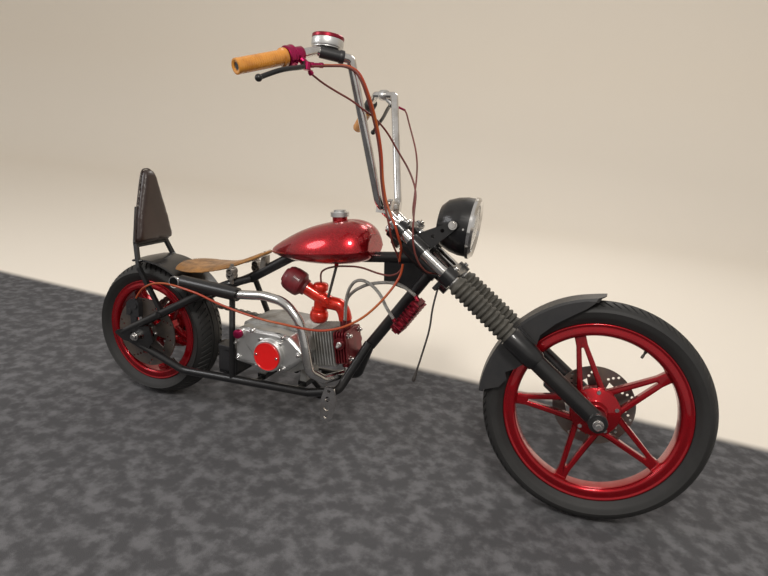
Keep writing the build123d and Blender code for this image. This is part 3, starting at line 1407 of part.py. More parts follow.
# Side stand, hidden on the left in the picture: drawn as it stands on the floor
PIVOT = parked((468.0, 104.0, 150.0))
FOOT = (-216.5, 158.8, 0.0)
STAND_R = 9.0
STAND_PIN_R = 6.0


def across(y):
    """A point on the stand's pivot line."""
    return (PIVOT[0], PIVOT[1] + y, PIVOT[2])


stand = rod(across(-1), across(22), 13) + rod(across(12), along(FOOT, (0, 0, 1), 8), STAND_R)
stand = stand + rod(FOOT, along(FOOT, (0, 0, 1), 7), 30)
stand = stand - rod(across(-40), across(40), STAND_PIN_R + RUNNING_GAP) - rod(across(22), across(40), 10.5)
save("side_stand", stand)
pin = rod(across(-16), across(28), STAND_PIN_R) + rod(across(22.2), across(28), 10)
pin = pin + rod(across(-22), across(-1.2), 13)
save("frame_lower_rails", rails + pin)

# The same places in the part's own frame
swung_axle = tuple(AXLE[i] + axle_move[i] for i in range(3))
places = {
    "rear axle": parked(REAR_AXLE),
    "front axle": parked(swung_axle),
    "stem": parked(STEM_FOOT),
    "stand pivot": PIVOT,
    "stand foot": FOOT,
    "rear axle end": parked(rear(0, -132.0, 0)),
}
for x, z, r in PEG_HOLES:
    places["peg hole " + str(r)] = parked((x, -101, z))
for label, place in places.items():
    print(label, [round(value, 4) for value in place])
print("rear axle line", turned((0.0, 1.0, 0.0), ACROSS, -lean))
print("front axle line", axle_line)
print("stem line", turned(STEM_UP, ACROSS, -lean))
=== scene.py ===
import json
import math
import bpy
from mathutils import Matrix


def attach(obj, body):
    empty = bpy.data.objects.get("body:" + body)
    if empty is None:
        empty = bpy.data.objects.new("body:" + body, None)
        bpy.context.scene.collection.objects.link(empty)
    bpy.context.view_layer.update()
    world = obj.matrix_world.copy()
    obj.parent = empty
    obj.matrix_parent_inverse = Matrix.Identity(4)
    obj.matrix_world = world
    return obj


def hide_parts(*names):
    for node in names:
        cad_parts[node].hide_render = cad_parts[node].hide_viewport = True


bl_info = {
    "name": "Chopper Motorcycle",
    "version": (1, 0, 0),
    "blender": (4, 5, 0),
    "location": "3D View > Sidebar > Chopper",
    "description": "Dresses the packed chopper with tyres, soft goods, fasteners and finishes",
    "category": "Object",
}

from collections import namedtuple

import bmesh
import bpy
from mathutils import Matrix, Vector

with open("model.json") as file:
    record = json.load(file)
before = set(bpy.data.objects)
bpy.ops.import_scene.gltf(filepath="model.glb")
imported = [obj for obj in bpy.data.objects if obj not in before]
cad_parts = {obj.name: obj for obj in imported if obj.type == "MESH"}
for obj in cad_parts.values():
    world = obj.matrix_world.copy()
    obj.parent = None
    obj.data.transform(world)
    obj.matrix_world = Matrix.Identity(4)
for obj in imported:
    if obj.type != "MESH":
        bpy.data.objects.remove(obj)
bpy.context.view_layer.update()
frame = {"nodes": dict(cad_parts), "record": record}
NODES = frame["nodes"]
SLOTS = {part["node"]: part["material_slot"] for part in frame["record"]["subparts"]}

MM = 0.001

# The drawing frame of the part, in millimetres: X forward, Y left, Z up, rear axle over X = 0
LEAN = math.radians(3.0)
STEER = math.radians(8.8)
RAKE = math.radians(35.3)
RAKE_COS = math.cos(RAKE)
RAKE_SIN = math.sin(RAKE)
CENTRE = (716.5, 67.2)
LIFT = 0.1087
WHEELBASE = 1373.0
FRONT_AXLE_Z = 280.178
REAR_AXLE_Z = 221.6
FORK_OFFSET = 32.0
FORK_TOP_T = 682.0
LEG_Y = 88
CRANK = (494.0, 274.0)
BORE_TILT = math.radians(11.0)
BORE_COS = math.cos(BORE_TILT)
BORE_SIN = math.sin(BORE_TILT)


def mm(x, y, z):
    return Vector((x * MM, y * MM, z * MM))


def fork(t, y=0.0, n=0.0):
    """A point on the fork: t up from the front axle, y left, n forward of its line."""
    return mm(WHEELBASE - t * RAKE_COS + n * RAKE_SIN, y, FRONT_AXLE_Z + t * RAKE_SIN + n * RAKE_COS)


def engine(x, y, z):
    """A point from the crankshaft."""
    return mm(CRANK[0] + x, y, CRANK[1] + z)


def bore(s, y=0.0, n=0.0):
    """A point on the cylinder: s forward from the crank, n upward of its line."""
    return engine(s * BORE_COS - n * BORE_SIN, y, s * BORE_SIN + n * BORE_COS)


def top(x, y, z):
    """A point from the top of the fork."""
    return fork(FORK_TOP_T) + mm(x, y, z)


BORE_LINE = Vector((BORE_COS, 0, BORE_SIN))
STEM_UP = Vector((-RAKE_COS, 0.0, RAKE_SIN))
FORK_FORWARD = Vector((RAKE_SIN, 0.0, RAKE_COS))
STEM_FOOT = fork(0, 0, -FORK_OFFSET)
LEFT = Vector((0, 1, 0))
RIGHT = Vector((0, -1, 0))
UP = Vector((0, 0, 1))
SIDES = (-1, 1)

PARK = Matrix.Translation(mm(-CENTRE[0], -CENTRE[1], LIFT)) @ Matrix.Rotation(-LEAN, 4, "X")
STEERED = PARK @ (
    Matrix.Translation(STEM_FOOT) @ Matrix.Rotation(STEER, 4, STEM_UP) @ Matrix.Translation(-STEM_FOOT)
)
# For shapes that are made where they stand
AS_MADE = Matrix.Identity(4)
# Where each body's drawing stands when the machine is parked
BODY_PLACE = {"frame": PARK, "rear_wheel": PARK, "steering": STEERED, "front_wheel": STEERED}

# A wheel's axle as a point, then in millimetres its tyre's outer radius and half width,
# and its rim's flange radius, well radius and half width
Wheel = namedtuple("Wheel", "axle outer half flange well rim_half")
WHEELS = {
    "front": Wheel(mm(WHEELBASE, 0, FRONT_AXLE_Z), 283.0, 40.0, 228.0, 198.8, 25.0),
    "rear": Wheel(mm(0, 0, REAR_AXLE_Z), REAR_AXLE_Z, 64.0, 166.5, 140.3, 47.5),
}
FRONT_AXLE = WHEELS["front"].axle
REAR_AXLE = WHEELS["rear"].axle


# Shader groups


def set_inputs(tree, node, values):
    """Sets a node's inputs from pairs of an input and its value or the socket that feeds it."""
    for key, source in values:
        if isinstance(source, bpy.types.NodeSocket):
            tree.links.new(source, node.inputs[key])
        else:
            node.inputs[key].default_value = source


def add_node(tree, kind, values=(), **settings):
    """A node with its settings and inputs."""
    node = tree.nodes.new(kind)
    for key, setting in settings.items():
        setattr(node, key, setting)
    set_inputs(tree, node, values)
    return node


def new_group(name, inputs, outputs):
    """A shader group, the sockets that it is given and its end node."""
    group = bpy.data.node_groups.new(name, "ShaderNodeTree")
    kinds = {"c": "NodeSocketColor", "f": "NodeSocketFloat", "v": "NodeSocketVector"}
    for way, sockets in (("INPUT", inputs), ("OUTPUT", outputs)):
        for label, kind in sockets:
            group.interface.new_socket(label, in_out=way, socket_type=kinds[kind])
    start = group.nodes.new("NodeGroupInput")
    end = group.nodes.new("NodeGroupOutput")
    return group, start.outputs, end


def mix_colour(tree, factor, a, b):
    """One colour over another; a Mix node's colours are its inputs 6 and 7 and its output 2."""
    return add_node(tree, "ShaderNodeMix", [(0, factor), (6, a), (7, b)], data_type="RGBA").outputs[2]


def calc(tree, kind, *values, clamp=False):
    """The result of one step of arithmetic."""
    node = add_node(tree, "ShaderNodeMath", enumerate(values), operation=kind, use_clamp=clamp)
    return node.outputs[0]


def band(tree, value, low, high, to_low=0.0, to_high=1.0):
    """Maps a value smoothly from one range to another."""
    values = [("Value", value), ("From Min", low), ("From Max", high)]
    values += [("To Min", to_low), ("To Max", to_high)]
    return add_node(tree, "ShaderNodeMapRange", values, interpolation_type="SMOOTHSTEP").outputs[0]


def noise(tree, vector, scale, detail, rough=0.55):
    values = [("Vector", vector), ("Scale", scale), ("Detail", detail), ("Roughness", rough)]
    return add_node(tree, "ShaderNodeTexNoise", values).outputs[0]


def surface_group():
    """Patches of a second colour, fine grain and settled dust, shared by every finish."""
    inputs = [
        ("Vector", "v"),
        ("Base", "c"),
        ("Patch Colour", "c"),
        ("Patch Amount", "f"),
        ("Patch Scale", "f"),
        ("Grain Scale", "f"),
        ("Smooth", "f"),
        ("Rough", "f"),
        ("Dust Colour", "c"),
        ("Dust Amount", "f"),
    ]
    outputs = [("Colour", "c"), ("Roughness", "f"), ("Height", "f")]
    group, given, end = new_group("Worn Surface", inputs, outputs)
    patch = band(group, noise(group, given["Vector"], given["Patch Scale"], 5.0), 0.4, 0.68)
    patch = calc(group, "MULTIPLY", patch, given["Patch Amount"])
    colour = mix_colour(group, patch, given["Base"], given["Patch Colour"])
    grain = noise(group, given["Vector"], given["Grain Scale"], 6.0, 0.65)
    # Dust lies in finer patches, most of it on faces that look up, and dulls what it covers
    dust_scale = calc(group, "MULTIPLY", given["Patch Scale"], 3.1)
    dust = band(group, noise(group, given["Vector"], dust_scale, 8.0, 0.7), 0.35, 0.7)
    dust = calc(group, "MULTIPLY", dust, given["Dust Amount"])
    normal = add_node(group, "ShaderNodeNewGeometry").outputs["Normal"]
    facing_up = add_node(group, "ShaderNodeSeparateXYZ", [(0, normal)]).outputs[2]
    dust = calc(group, "MULTIPLY", dust, band(group, facing_up, -0.2, 0.9, 0.35, 1.0))
    colour = mix_colour(group, dust, colour, given["Dust Colour"])
    spread = calc(group, "SUBTRACT", given["Rough"], given["Smooth"])
    rough = calc(group, "MULTIPLY_ADD", grain, spread, given["Smooth"])
    rough = calc(group, "MULTIPLY_ADD", dust, 0.4, rough, clamp=True)
    set_inputs(group, end, [("Colour", colour), ("Roughness", rough), ("Height", grain)])
    return group


def flake_group():
    """Bright metal flakes under lacquer."""
    inputs = [("Vector", "v"), ("Base", "c"), ("Bright", "c"), ("Scale", "f")]
    group, given, end = new_group("Metal Flake", inputs, [("Colour", "c")])
    values = [("Vector", given["Vector"]), ("Scale", given["Scale"])]
    cells = add_node(group, "ShaderNodeTexVoronoi", values)
    spark = add_node(group, "ShaderNodeSeparateColor", [(0, cells.outputs["Color"])]).outputs[0]
    colour = mix_colour(group, band(group, spark, 0.55, 1.0), given["Base"], given["Bright"])
    set_inputs(group, end, [("Colour", colour)])
    return group


def leather_group():
    """Pebbled grain and creases."""
    group, given, end = new_group("Leather Grain", [("Vector", "v"), ("Scale", "f")], [("Height", "f")])
    values = [("Vector", given["Vector"]), ("Scale", given["Scale"])]
    pebbles = add_node(group, "ShaderNodeTexVoronoi", values, feature="SMOOTH_F1").outputs["Distance"]
    creases = noise(group, given["Vector"], calc(group, "MULTIPLY", given["Scale"], 0.12), 7.0, 0.6)
    set_inputs(group, end, [("Height", calc(group, "MULTIPLY_ADD", pebbles, 0.6, creases))])
    return group


def braid_group():
    """Crossing strands round a hose."""
    group, given, end = new_group("Braid", [("Vector", "v"), ("Scale", "f")], [("Height", "f")])
    values = [("Vector", given["Vector"]), ("Scale", given["Scale"]), ("Distortion", 0.3)]
    waves = [
        add_node(group, "ShaderNodeTexWave", values, bands_direction=direction).outputs[1]
        for direction in ("DIAGONAL", "X")
    ]
    set_inputs(group, end, [("Height", calc(group, "MAXIMUM", *waves))])
    return group


SURFACE = surface_group()
FLAKE = flake_group()
LEATHER = leather_group()
BRAID = braid_group()
DUST = (0.30, 0.26, 0.22, 1.0)
COAT_ROUGHNESS = 0.05
# How dark a patch is against its finish where it has no colour of its own
PATCH_SHADE = 0.6


def finish(
    name,
    base,
    patch,
    amount,
    patch_scale,
    grain_scale,
    rough,
    metallic=0.0,
    coat=0.0,
    bump=0.05,
    depth=0.0004,
    dust=0.1,
    dust_colour=DUST,
    specular=0.5,
    sheen=0.0,
    transmission=0.0,
    flake=None,
    relief=None,
):
    """A principled material whose colour, roughness and bump come from the shared groups."""
    material = bpy.data.materials.new(name)
    material.use_nodes = True
    tree = material.node_tree
    vector = add_node(tree, "ShaderNodeTexCoord").outputs["Object"]
    patch = patch or tuple(c * PATCH_SHADE for c in base)
    values = [
        ("Vector", vector),
        ("Base", (*base, 1.0)),
        ("Patch Colour", (*patch, 1.0)),
        ("Patch Amount", amount),
        ("Patch Scale", patch_scale),
        ("Grain Scale", grain_scale),
        ("Smooth", rough[0]),
        ("Rough", rough[1]),
        ("Dust Colour", dust_colour),
        ("Dust Amount", dust),
    ]
    surface = add_node(tree, "ShaderNodeGroup", values, node_tree=SURFACE).outputs
    colour = surface["Colour"]
    height = surface["Height"]
    if flake:
        bright, scale = flake
        values = [("Vector", vector), ("Base", colour), ("Bright", (*bright, 1.0)), ("Scale", scale)]
        colour = add_node(tree, "ShaderNodeGroup", values, node_tree=FLAKE).outputs["Colour"]
    if relief:
        group, scale = relief
        values = [("Vector", vector), ("Scale", scale)]
        height = add_node(tree, "ShaderNodeGroup", values, node_tree=group).outputs["Height"]
    bumps = add_node(tree, "ShaderNodeBump", [("Strength", bump), ("Distance", depth), ("Height", height)])
    shader_values = [
        ("Base Color", colour),
        ("Roughness", surface["Roughness"]),
        ("Metallic", metallic),
        ("Coat Weight", coat),
        ("Coat Roughness", COAT_ROUGHNESS),
        ("Specular IOR Level", specular),
        ("Sheen Weight", sheen),
        ("Transmission Weight", transmission),
        ("Normal", bumps.outputs[0]),
    ]
    set_inputs(tree, tree.nodes["Principled BSDF"], shader_values)
    return material


# In each finish, what follows the label: colour, patch colour and share, patch and grain scale, roughness


def paint_finishes():
    """Paints, lacquers and dyed metal."""
    return {
        "black_paint": finish(
            "Black Paint", (0.007, 0.007, 0.008), (0.014, 0.013, 0.012), 0.5, 9, 260, (0.26, 0.42),
            coat=0.3, bump=0.1, depth=0.0005, dust=0.03, specular=0.35,
        ),
        "red_flake": finish(
            "Candy Flake Red", (0.30, 0.002, 0.006), (0.17, 0.0, 0.003), 0.6, 7, 300, (0.24, 0.32),
            metallic=0.8, coat=0.7, bump=0.04, dust=0.01, flake=((0.8, 0.02, 0.035), 1900.0),
        ),
        "red_paint": finish(
            "Candy Red Rim", (0.34, 0.001, 0.007), (0.17, 0.0, 0.004), 0.6, 8, 300, (0.20, 0.30),
            metallic=0.75, coat=0.6, bump=0.04, dust=0.015, specular=0.3,
            flake=((0.5, 0.004, 0.014), 2600.0),
        ),
        "red_anodised": finish(
            "Red Anodised", (0.27, 0.012, 0.03), (0.13, 0.008, 0.014), 0.7, 26, 500, (0.26, 0.42),
            metallic=0.85, coat=0.1, bump=0.1,
        ),
        "magenta_anodised": finish(
            "Magenta Anodised", (0.42, 0.012, 0.09), (0.25, 0.01, 0.05), 0.5, 30, 500, (0.22, 0.34),
            metallic=0.9, coat=0.2, bump=0.06, dust=0.04,
        ),
        "red_plastic": finish(
            "Gloss Red", (0.74, 0.006, 0.006), (0.55, 0.004, 0.004), 0.5, 18, 300, (0.24, 0.36),
            metallic=0.05, coat=0.3, bump=0.06, dust=0.02,
        ),
        "filter_red": finish(
            "Oiled Filter Red", (0.15, 0.004, 0.010), (0.05, 0.002, 0.004), 0.7, 40, 700, (0.42, 0.66),
            coat=0.15, bump=0.4, depth=0.0008, dust=0.05,
        ),
        "carb_red": finish(
            "Carburettor Red", (0.72, 0.028, 0.010), (0.40, 0.010, 0.006), 0.6, 30, 500, (0.22, 0.34),
            metallic=0.45, coat=0.6, bump=0.1, dust=0.02,
        ),
    }


def metal_finishes():
    """Bare, plated and cast metal, and the head's lacquered fins."""
    return {
        "alloy": finish(
            "Satin Alloy", (0.66, 0.66, 0.65), (0.46, 0.45, 0.43), 0.45, 16, 520, (0.28, 0.42),
            metallic=0.9, bump=0.14, depth=0.0005, dust=0.08,
        ),
        "fins": finish(
            "Cast Alloy", (0.45, 0.45, 0.44), (0.2, 0.18, 0.15), 0.7, 24, 420, (0.45, 0.65),
            metallic=0.75, bump=0.35, depth=0.0008, dust=0.3,
        ),
        "chrome": finish(
            "Chrome", (0.72, 0.71, 0.70), (0.42, 0.38, 0.33), 0.5, 22, 380, (0.07, 0.18),
            metallic=1.0, bump=0.03, dust=0.06,
        ),
        "pipe_silver": finish(
            "Pipe Silver", (0.66, 0.655, 0.645), (0.42, 0.39, 0.35), 0.5, 13, 420, (0.14, 0.28),
            metallic=1.0, bump=0.06, dust=0.04,
        ),
        "head_red": finish(
            "Red Lacquered Fins", (0.19, 0.012, 0.02), (0.11, 0.02, 0.02), 0.7, 30, 420, (0.34, 0.5),
            metallic=0.7, coat=0.1, bump=0.25,
        ),
        "steel": finish(
            "Oily Steel", (0.28, 0.26, 0.24), (0.10, 0.075, 0.05), 0.7, 40, 600, (0.35, 0.55),
            metallic=0.85, bump=0.25, dust=0.22,
        ),
        "disc_steel": finish(
            "Heat-darkened Disc", (0.16, 0.14, 0.13), (0.25, 0.2, 0.16), 0.6, 20, 650, (0.3, 0.5),
            metallic=0.9, bump=0.2, dust=0.15,
        ),
    }


def soft_finishes():
    """Plastic, rubber, leather and glass."""
    return {
        "black_plastic": finish(
            "Satin Black Plastic", (0.015, 0.015, 0.017), (0.026, 0.025, 0.024), 0.5, 12, 900, (0.34, 0.5),
            bump=0.25, dust=0.04,
        ),
        "black_rubber": finish(
            "Gaiter Rubber", (0.05, 0.047, 0.039), (0.08, 0.074, 0.06), 0.6, 20, 300, (0.5, 0.68),
            bump=0.25, dust=0.12,
        ),
        "tyre": finish(
            "Tyre Rubber", (0.016, 0.0155, 0.015), (0.026, 0.025, 0.0245), 0.5, 5, 500, (0.5, 0.68),
            bump=0.2, dust=0.05, dust_colour=(0.16, 0.155, 0.15, 1.0), specular=0.4,
        ),
        "tan_leather": finish(
            "Worn Tan Leather", (0.40, 0.18, 0.04), (0.25, 0.115, 0.032), 0.7, 7, 90, (0.34, 0.52),
            coat=0.15, bump=0.5, depth=0.0012, dust=0.8, dust_colour=(0.10, 0.058, 0.028, 1.0), sheen=0.05,
            relief=(LEATHER, 420.0),
        ),
        "brown_leather": finish(
            "Dark Brown Leather", (0.024, 0.012, 0.009), (0.038, 0.02, 0.016), 0.6, 9, 120, (0.3, 0.44),
            coat=0.15, bump=0.35, depth=0.001, dust=0.02, relief=(LEATHER, 520.0),
        ),
        "amber_rubber": finish(
            "Amber Rubber", (0.66, 0.27, 0.035), (0.34, 0.11, 0.014), 0.7, 16, 500, (0.2, 0.32),
            coat=0.6, bump=0.12, dust=0.01,
        ),
        "lens_glass": finish(
            "Lens Glass", (0.94, 0.96, 0.98), (0.9, 0.92, 0.94), 0.2, 8, 160, (0.02, 0.06),
            bump=0.15, dust=0.02, transmission=1.0,
        ),
    }


def small_finishes():
    """Cable sleeves, hoses, the near-black of the silencer's mouth with its painted shade, thread and the
    instrument's dial.
    """
    return {
        "orange_sleeve": finish(
            "Orange-red Sleeve", (0.36, 0.04, 0.010), (0.42, 0.11, 0.014), 0.8, 7, 900, (0.28, 0.4),
            coat=0.3, bump=0.1, dust=0.02,
        ),
        "red_sleeve": finish(
            "Dark Red Sleeve", (0.14, 0.02, 0.015), (0.07, 0.02, 0.014), 0.6, 14, 900, (0.35, 0.5),
            bump=0.1, dust=0.06,
        ),
        "braid": finish(
            "Braided Steel Hose", (0.42, 0.41, 0.39), (0.25, 0.23, 0.2), 0.5, 60, 700, (0.32, 0.5),
            metallic=0.8, bump=0.8, depth=0.0008, relief=(BRAID, 520.0),
        ),
        "black_sleeve": finish(
            "Black Sleeve", (0.03, 0.026, 0.024), (0.06, 0.05, 0.045), 0.5, 20, 900, (0.4, 0.55),
            bump=0.1, dust=0.12,
        ),
        # Near-black for the silencer's mouth: partly the real black of burnt carbon, partly painted shade
        # standing for the pipe's deep hollow
        "soot_and_hollow_shade": finish(
            "Soot and Painted Hollow Shade", (0.004, 0.004, 0.004), None, 0.3, 40, 500, (0.8, 0.95),
            dust=0.0, specular=0.1,
        ),
        "thread": finish(
            "Waxed Thread", (0.32, 0.2, 0.1), None, 0.4, 60, 900, (0.6, 0.8),
            bump=0.3, dust=0.05,
        ),
        "dial": finish(
            "Dial Face", (0.75, 0.75, 0.72), (0.65, 0.64, 0.6), 0.3, 20, 300, (0.4, 0.5),
            dust=0.0,
        ),
        "dial_marks": finish(
            "Dial Marks", (0.02, 0.02, 0.02), None, 0.2, 20, 300, (0.4, 0.5),
            dust=0.0,
        ),
    }


# Filled by the first operator, by the record's slot or the finish's own name
FINISHES = {}


# Mesh helpers


def merge(target, part, place=None):
    """Adds one bmesh to another, moved by a matrix."""
    mesh = bpy.data.meshes.new("part")
    part.to_mesh(mesh)
    if place is not None:
        mesh.transform(place)
    target.from_mesh(mesh)
    bpy.data.meshes.remove(mesh)


def scatter(part, places):
    """One bmesh with a copy of a part at each matrix."""
    bm = bmesh.new()
    for place in places:
        merge(bm, part, place)
    part.free()
    return bm


def joined(*parts):
    """One bmesh of several."""
    bm = bmesh.new()
    for part in parts:
        merge(bm, part)
        part.free()
    return bm


def aim(origin, line, spin=0.0):
    """A matrix that puts local Z on a line through a point."""
    turn = Vector(line).to_track_quat("Z", "Y").to_matrix().to_4x4()
    return Matrix.Translation(origin) @ turn @ Matrix.Rotation(spin, 4, "Z")


def mirrored_places(place):
    """What a function of the side gives for the right and the left."""
    return [place(side) for side in SIDES]


def ring_places(centre, axis, radius, count, first, height):
    """Matrices for a ring of like pieces that stand along an axis."""
    base = aim(centre, axis)
    places = []
    for k in range(count):
        angle = math.radians(first) + k * math.tau / count
        spot = mm(radius * math.cos(angle), radius * math.sin(angle), height)
        places.append(base @ Matrix.Translation(spot))
    return places


def spin_round(bm, geometry, steps):
    """Turns a profile once round Z."""
    bmesh.ops.spin(
        bm, geom=geometry, axis=(0, 0, 1), cent=(0, 0, 0), angle=math.tau, steps=steps, use_merge=True
    )


def lathe(profile, steps=40):
    """A turned form about Z from (radius, height) in millimetres."""
    bm = bmesh.new()
    verts = [bm.verts.new(mm(r, 0, h)) for r, h in profile]
    edges = [bm.edges.new(pair) for pair in zip(verts, verts[1:])]
    spin_round(bm, verts + edges, steps)
    bmesh.ops.remove_doubles(bm, verts=bm.verts[:], dist=1e-6)
    bmesh.ops.recalc_face_normals(bm, faces=bm.faces[:])
    return bm


def turned(profile, steps, origin, line):
    """A turned form that stands on a line through a point."""
    return scatter(lathe(profile, steps), [aim(origin, line)])


def bevel_sharp(bm, width, segments, angle, hold=True):
    """Rounds the sharp edges; hold lets short edges keep the width down."""
    edges = [e for e in bm.edges if len(e.link_faces) == 2 and e.calc_face_angle() > angle]
    bmesh.ops.bevel(
        bm, geom=edges, offset=width, segments=segments, profile=0.5, affect="EDGES", material=-1,
        clamp_overlap=hold,
    )


def hex_bolt(across, height, washer=1.3, shank=0.0):
    """A hexagon head on its washer, standing on Z = 0, and the end of its shank above it if given."""
    washer_height = 1.0
    bm = bmesh.new()
    r = across / math.sqrt(3) * MM
    lifted = Matrix.Translation(mm(0, 0, height / 2 + washer_height))
    bmesh.ops.create_cone(
        bm, cap_ends=True, segments=6, radius1=r, radius2=r, depth=height * MM, matrix=lifted
    )
    bevel_sharp(bm, 0.0005, 1, 0.4)
    edge = across / 2 * washer
    merge(bm, lathe([(0, 0), (edge, 0), (edge, washer_height), (edge - 0.4, 1.4), (0, 1.4)], 20))
    if shank:
        foot = height
        crown = [(shank, foot + 4), (shank - 0.8, foot + 5), (0, foot + 5)]
        merge(bm, lathe([(0, foot), (shank, foot), *crown], 16))
    return bm


def socket_bolt(r, height):
    """A round cap screw with a hexagon socket, standing on Z = 0."""
    bm = lathe([(0, 0), (r, 0), (r, height - 0.6), (r - 0.6, height), (0, height)], 20)
    hole = bmesh.new()
    lifted = Matrix.Translation(mm(0, 0, height + 0.02))
    bmesh.ops.create_circle(hole, cap_ends=True, segments=6, radius=r * 0.55 * MM, matrix=lifted)
    bmesh.ops.inset_region(hole, faces=hole.faces[:], thickness=0.0002, depth=-0.0008)
    merge(bm, hole)
    return bm


def tube_curve(name, points, radius, resolution=10, sides=4):
    """A curve object with a round section, drawn smoothly along control points in metres."""
    curve = bpy.data.curves.new(name, "CURVE")
    curve.dimensions = "3D"
    curve.bevel_depth = radius * MM
    curve.bevel_resolution = sides
    curve.use_fill_caps = True
    curve.resolution_u = resolution
    line = curve.splines.new("NURBS")
    line.points.add(len(points) - 1)
    for point, place in zip(line.points, points):
        point.co = (*place, 1.0)
    line.order_u = 3
    line.use_endpoint_u = True
    shape = bpy.data.objects.new(name, curve)
    bpy.context.scene.collection.objects.link(shape)
    return shape


def tube(points, radius, **settings):
    """The round tube of such a curve, as a bmesh."""
    shape = tube_curve("run", points, radius, **settings)
    curve = shape.data
    mesh = bpy.data.meshes.new_from_object(shape)
    bpy.data.objects.remove(shape)
    bpy.data.curves.remove(curve)
    bm = bmesh.new()
    bm.from_mesh(mesh)
    bpy.data.meshes.remove(mesh)
    return bm


def piece(name, bm, slot, body, material=None, replaces=(), smooth_angle=35.0, place=None):
    """A finished object from a bmesh: placed, shaded, painted and riding on its body."""
    mesh = bpy.data.meshes.new(name)
    bm.to_mesh(mesh)
    bm.free()
    mesh.transform(BODY_PLACE[body] if place is None else place)
    shape = bpy.data.objects.new(name, mesh)
    bpy.context.scene.collection.objects.link(shape)
    mesh.materials.append(FINISHES[material or slot])
    smooth_all(shape)
    mesh.set_sharp_from_angle(angle=math.radians(smooth_angle))
    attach(shape, body)
    if replaces:
        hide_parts(*replaces)
    return shape


def smooth_all(shape):
    for polygon in shape.data.polygons:
        polygon.use_smooth = True


def apply_modifiers(shape):
    """Turns an object's modifiers into its mesh."""
    view = bpy.context.evaluated_depsgraph_get()
    mesh = bpy.data.meshes.new_from_object(shape.evaluated_get(view))
    old = shape.data
    shape.modifiers.clear()
    shape.data = mesh
    bpy.data.meshes.remove(old)


def subdivide_once(shape):
    """Rounds a soft piece's mesh by one level."""
    smooth = shape.modifiers.new("Subdivision", "SUBSURF")
    smooth.levels = smooth.render_levels = 1
    apply_modifiers(shape)
    smooth_all(shape)


def swell(shape, puff):
    """Inflates a closed cover with cloth pressure, no further than the puff allows."""
    frames = 20
    remesh = shape.modifiers.new("Remesh", "REMESH")
    remesh.mode = "VOXEL"
    remesh.voxel_size = 0.005
    apply_modifiers(shape)
    start = [v.co.copy() for v in shape.data.vertices]
    cloth = shape.modifiers.new("Cloth", "CLOTH")
    cloth.settings.use_pressure = True
    cloth.settings.uniform_pressure_force = 4.0
    cloth.settings.tension_stiffness = 30
    cloth.settings.bending_stiffness = 2.0
    cloth.settings.effector_weights.gravity = 0.0
    cloth.point_cache.frame_start = 1
    cloth.point_cache.frame_end = frames
    for step in range(1, frames + 1):
        bpy.context.scene.frame_set(step)
    apply_modifiers(shape)
    bpy.context.scene.frame_set(1)
    for vert, old in zip(shape.data.vertices, start):
        move = vert.co - old
        if move.length > puff:
            vert.co = old + move.normalized() * puff


class ChopperSettings(bpy.types.PropertyGroup):
    """Sizes and colours that a user would change."""

    front_pitches: bpy.props.IntProperty(
        name="Front tread pitches", description="Tread blocks round the front tyre", default=84, min=40
    )
    rear_pitches: bpy.props.IntProperty(
        name="Rear tread pitches", description="Tread blocks round the rear tyre", default=66, min=30
    )
    groove_depth: bpy.props.FloatProperty(
        name="Groove depth",
        description="Depth of the tread's grooves",
        default=0.0035,
        unit="LENGTH",
        min=0.0,
    )
    puff: bpy.props.FloatProperty(
        name="Padding puff",
        description="How far a pad's cover may swell",
        default=0.006,
        unit="LENGTH",
        min=0.0,
    )
    floor_colour: bpy.props.FloatVectorProperty(
        name="Floor colour",
        description="Colour of the carpet under the machine",
        default=(0.085, 0.084, 0.088),
        subtype="COLOR",
    )
    wall_colour: bpy.props.FloatVectorProperty(
        name="Wall colour",
        description="Colour of the studio behind the machine",
        default=(0.93, 0.86, 0.76),
        subtype="COLOR",
    )
    backdrop: bpy.props.FloatProperty(
        name="Backdrop",
        description="Brightness of what metal and glass reflect",
        default=0.55,
        min=0.0,
        max=1.0,
    )


# Studio, in metres: the floor runs back to a wall with a rounded foot
FLOOR_FRONT = -6.0
FLOOR_BACK = 3.6
FOOT_R = 1.4
WALL_TOP = 7.0
FLOOR_HALF = 14.0
# How far to the machine's left its carpet starts to fade, and where it ends
CARPET_EDGE = (0.50, 0.56)
# How bright the carpet's mottle is against its own colour
MOTTLE_SHADE = 2.1
LAMP_AIM = Vector((0, 0, 0.4))
# columns: name, place, size, power in watts, colour
LAMPS = (
    ("key_lamp", (0.9, -2.4, 3.0), 0.7, 66.0, (1.0, 0.96, 0.9)),
    ("fill_lamp", (-2.8, -2.0, 2.2), 1.4, 30.0, (0.98, 0.98, 1.0)),
    ("back_lamp", (0.4, 2.8, 2.8), 1.2, 30.0, (1.0, 0.97, 0.93)),
)
WORLD_COLOUR = (1.0, 0.955, 0.9, 1.0)
WORLD_FILL = 0.55
# The camera's place in metres, its turn in degrees and its lens in millimetres
CAMERA_PLACE = (0.6109, -1.5245, 1.0004)
CAMERA_TURN = (72.254, -4.068, 21.772)
CAMERA_LENS = 27.98


def stage_finish(settings):
    """Mottled carpet under the machine that gives way to a plain wall colour behind it."""
    carpet = tuple(settings.floor_colour)
    mottle = tuple(c * MOTTLE_SHADE for c in carpet)
    material = finish(
        "Studio Floor", carpet, mottle, 0.8, 22, 420, (0.85, 0.95),
        bump=0.6, depth=0.004, dust=0.0, specular=0.1,
    )
    tree = material.node_tree
    shader = tree.nodes["Principled BSDF"]
    place = add_node(tree, "ShaderNodeTexCoord").outputs["Object"]
    across = add_node(tree, "ShaderNodeSeparateXYZ", [(0, place)]).outputs[1]
    carpet_colour = shader.inputs["Base Color"].links[0].from_socket
    mixed = mix_colour(tree, band(tree, across, *CARPET_EDGE), carpet_colour, (*settings.wall_colour, 1.0))
    tree.links.new(mixed, shader.inputs["Base Color"])
    return material


